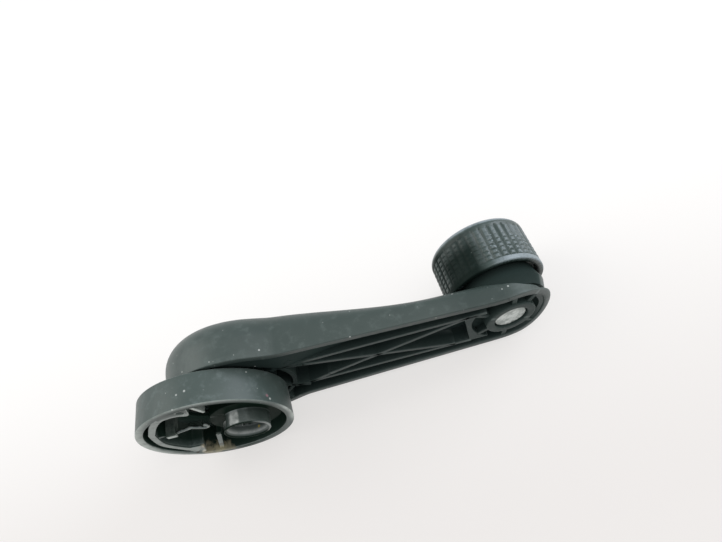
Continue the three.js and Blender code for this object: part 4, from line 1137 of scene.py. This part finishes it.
def gripShape():
    # A turned cup. Its knurled band sinks between the pyramids by the knurl's
    # depth times one less the smaller of two triangle waves, one round the
    # knob with a beat for each column and one along it with a beat a row, and
    # times the share that wear has left. Near the top the rows join to bars.
    bore, seat, chamber = bushRadius + runGap, knob["capRadius"] + runGap, knob["chamberRadius"]
    low, high, top, steps = knob["knurlLow"], knob["knurlHigh"], knob["top"], 8
    corners = [
        (knob["lipRadius"], knob["lipBottom"]), (knob["topRadius"], top), (seat, top),
        (seat, capLow - runGap), (chamber, capLow - runGap), (chamber, knob["chamberFloor"]),
        (bore, knob["chamberFloor"]), (bore, recessFloor), (knob["recessRadius"], recessFloor),
        (knob["recessRadius"], knob["lipBottom"])]
    cuts = [knob["lipEdge"], knob["topRound"], 0.3, 0.1, 0.2, 0.3, 0.2, 0.2, 0.5, 0.3]
    outline = softened(corners, cuts, steps)
    lip, rest = outline[:steps + 1], outline[steps + 1:]
    rest[:steps + 1] = arcPoints(knob["topRound"], 0, 90, steps + 1) + (
        knob["topRadius"] - knob["topRound"], top - knob["topRound"])
    (lowRadius, sideLow), (highRadius, sideHigh) = lip[-1], rest[0]
    heights = np.concatenate([
        np.linspace(sideLow, low, 5)[1:-1],
        np.linspace(low, high, knob["knurlRows"] * knob["rowPoints"] + 1),
        np.linspace(high, sideHigh, 3)[1:-1]])
    radii = np.interp(heights, [sideLow, sideHigh], [lowRadius, highRadius])
    profile = np.concatenate([lip, np.stack([radii, heights], axis=1), rest])

    def knurl(radius, height, angle):
        wave = lambda beats: 1 - np.abs(2 * (beats % 1) - 1)
        share = (height - low) / (high - low)
        columns = np.clip(wave(angle * knob["knurlColumns"] / (2 * np.pi)) * knob["columnFlat"], 0, 1)
        rows = np.clip(wave(share * knob["knurlRows"]) * knob["rowFlat"], 0, 1)
        joining = (rising(share, knob["joinFrom"], knob["joinOver"])
                   * smooth((knobWear["darkFrom"] - np.degrees(angle)) / knob["joinTurn"]))
        joined = mix(knob["joined"], knob["joinedMost"], joining)
        crest = np.minimum(columns, joined + (1 - joined) * rows)
        sunk = knob["knurlDepth"] * knurlWear(np.degrees(angle) % 360, share) * (1 - crest)
        return np.where(onKnurl(height, radius, 1e-6), radius - sunk, radius)

    return turnedPiece(profile, knob["knurlColumns"] * knob["columnPoints"], closed=True, radiusAt=knurl,
                       place=outward)


def bushShape():
    # A sleeve with a flange at its outer end.
    flange = bush["flangeRadius"]
    return turnedPiece(softened([
        (bushBore, recessFloor), (bushRadius, recessFloor), (bushRadius, bushFlangeLow),
        (flange, bushFlangeLow), (flange, bushFlangeHigh), (bushBore, bushFlangeHigh)], 0.2),
        96, closed=True, place=outward)


def capShape():
    # A disc with a rounded edge and a faint dish in its face.
    radius, face = knob["capRadius"], knob["capRadius"] * knob["capFace"]
    return turnedPiece(softened([
        (0, capLow), (radius, capLow), (radius, capHigh), (face, capHigh),
        (face - knob["dishEdge"], capHigh - knob["dishDeep"]), (0, capHigh - knob["dishMiddle"])],
        [0, 0.2, 0.4, 0.4, 0.8, 0]), 128, place=outward)


def washerShape(radius, low, high, cut, place):
    # A flat ring on the pin's journal.
    return turnedPiece(softened([(bushBore, low), (radius, low), (radius, high), (bushBore, high)], cut),
                       96, closed=True, place=place)


def waved(grid):
    # The height goes up and down as a sine three times round.
    angle = np.arctan2(grid[..., 1], grid[..., 0])
    lift = waveWasher["wave"] * np.sin(waveWasher["waves"] * angle)
    return outward(grid + lift[..., None] * np.array([0, 0, 1]))


def clipShape():
    # An open ring carried round from one side of its mouth to the other.
    half = clip["mouth"] / 2
    outer, inner = (arcPoints(radius, half, 360 - half, 80)
                    for radius in (clip["radius"], knobPin["grooveRadius"] + runGap))
    return band(outer, inner, clipLow, clipHigh, edge=0.12, place=outward)


thrustRing = washerShape(thrustWasher["radius"], washerLow, washerHigh, 0.25, outward)
waveRing = washerShape(waveWasher["radius"], waveLow, waveLow + waveWasher["thick"], 0.1, waved)
for name, shell, body, material, slot, node, exposedAt in (
        ("pinShank", pinShape(), "arm", pinSteel, "pin_metal", "knob_pin", None),
        ("knurledGrip", gripShape(), "knob", knobPlastic, "knob_plastic", "knob_grip", knobExposed),
        ("gripBush", bushShape(), "knob", washerNylon, "washer_nylon", "knob_bush", None),
        ("gripCap", capShape(), "knob", knobPlastic, "knob_plastic", "knob_cap", None),
        ("thrustRing", thrustRing, "arm", washerNylon, "washer_nylon", "thrust_washer", None),
        ("waveRing", waveRing, "arm", wireSteel, "spring_steel", "wave_washer", None),
        ("snapRing", clipShape(), "arm", wireSteel, "spring_steel", "retaining_clip", None)):
    makePiece(name, [shell], body, material, node, exposedAt)
print("knob made")

# The table, the light and the camera.
# The board's glow is painted light, and its fade towards the front is painted shade.
table = {"half": 3.0, "colours": ("8e8d8c", "838180"), "glows": ("d9d8d7", "cac7c5"), "fade": (0.06, -0.07),
         "roughness": 0.7, "sheen": 0.2}
room = {
    "sky": "f6f8fb", "skyStrength": 0.6,
    # Each lamp's place, what it points at, its size, power and colour.
    "lamps": {
        "window": ((0.95, 0.5, 0.42), (0.03, 0.02, 0.02), 0.7, 6.0, "eef4ff"),
        "lamp": ((-0.8, 0.2, 0.75), (-0.03, 0.0, 0.02), 0.8, 5.0, "fffdf8"),
        "ceiling": ((0.6, 0.0, 1.0), (0.0, 0.0, 0.02), 0.8, 5.0, "fffefc"),
    },
}
camera = {
    "place": (56.9757, -94.4657, 224.7262), "right": (0.9333351, -0.1810811, -0.3099923),
    "down": (-0.3055012, -0.8541257, -0.4208779), "focalPixels": 706.0, "framePixels": 722, "sensor": 36.0,
}


def makeTable():
    # Satin painted board that glows a little, as painted light, so that shadows on it stay
    # faint, with its colour and its glow a little dimmer towards the front, as painted shade.
    mesh = bpy.data.meshes.new("table")
    corner = np.array([(-1, -1, 0), (1, -1, 0), (1, 1, 0), (-1, 1, 0)]) * table["half"]
    mesh.from_pydata(corner.tolist(), [], [(0, 1, 2, 3)])
    material, tree, coords = newMaterial("paintedBoard")
    made = {"front": addNode(tree, "ShaderNodeSeparateXYZ", {"Vector": coords}).outputs["Y"]}
    addShares(tree, made, [("dimmed", "FADE", "front", table["fade"])])
    colour, glow = (addNode(tree, "ShaderNodeMix", {
        "data_type": "RGBA", 0: made["dimmed"], 6: linear(back), 7: linear(front)}).outputs[2]
        for back, front in (table["colours"], table["glows"]))
    addShader(tree, {"Base Color": colour, "Emission Color": glow, "Emission Strength": 1.0,
                     "Roughness": table["roughness"], "Specular IOR Level": table["sheen"]})
    mesh.materials.append(material)
    newObject("table", mesh)


def makeLight():
    world = bpy.data.worlds.new("room")
    bpy.context.scene.world = world
    world.use_nodes = True
    background = world.node_tree.nodes["Background"]
    background.inputs["Color"].default_value = linear(room["sky"])
    background.inputs["Strength"].default_value = room["skyStrength"]
    for name, (place, target, size, power, colour) in room["lamps"].items():
        light = bpy.data.lights.new(name, "AREA")
        light.shape, light.size, light.energy, light.color = "SQUARE", size, power, linear(colour)[:3]
        lamp = newObject(name, light)
        lamp.location = place
        lamp.rotation_euler = (Vector(target) - Vector(place)).to_track_quat("-Z", "Y").to_euler()


def makeCamera():
    right, down = Vector(camera["right"]), Vector(camera["down"])
    data = bpy.data.cameras.new("camera")
    data.sensor_fit, data.sensor_width = "HORIZONTAL", camera["sensor"]
    data.lens = camera["focalPixels"] / camera["framePixels"] * camera["sensor"]
    data.clip_start = 0.01
    eye = newObject("camera", data)
    turn = Matrix((right, -down, -right.cross(down))).transposed()
    eye.matrix_world = Matrix.Translation(Vector(camera["place"]) / 1000) @ turn.to_4x4()
    bpy.context.scene.camera = eye


makeTable()
makeLight()
makeCamera()
bpy.context.scene.view_settings.view_transform = "Standard"
print("table, light and camera made")
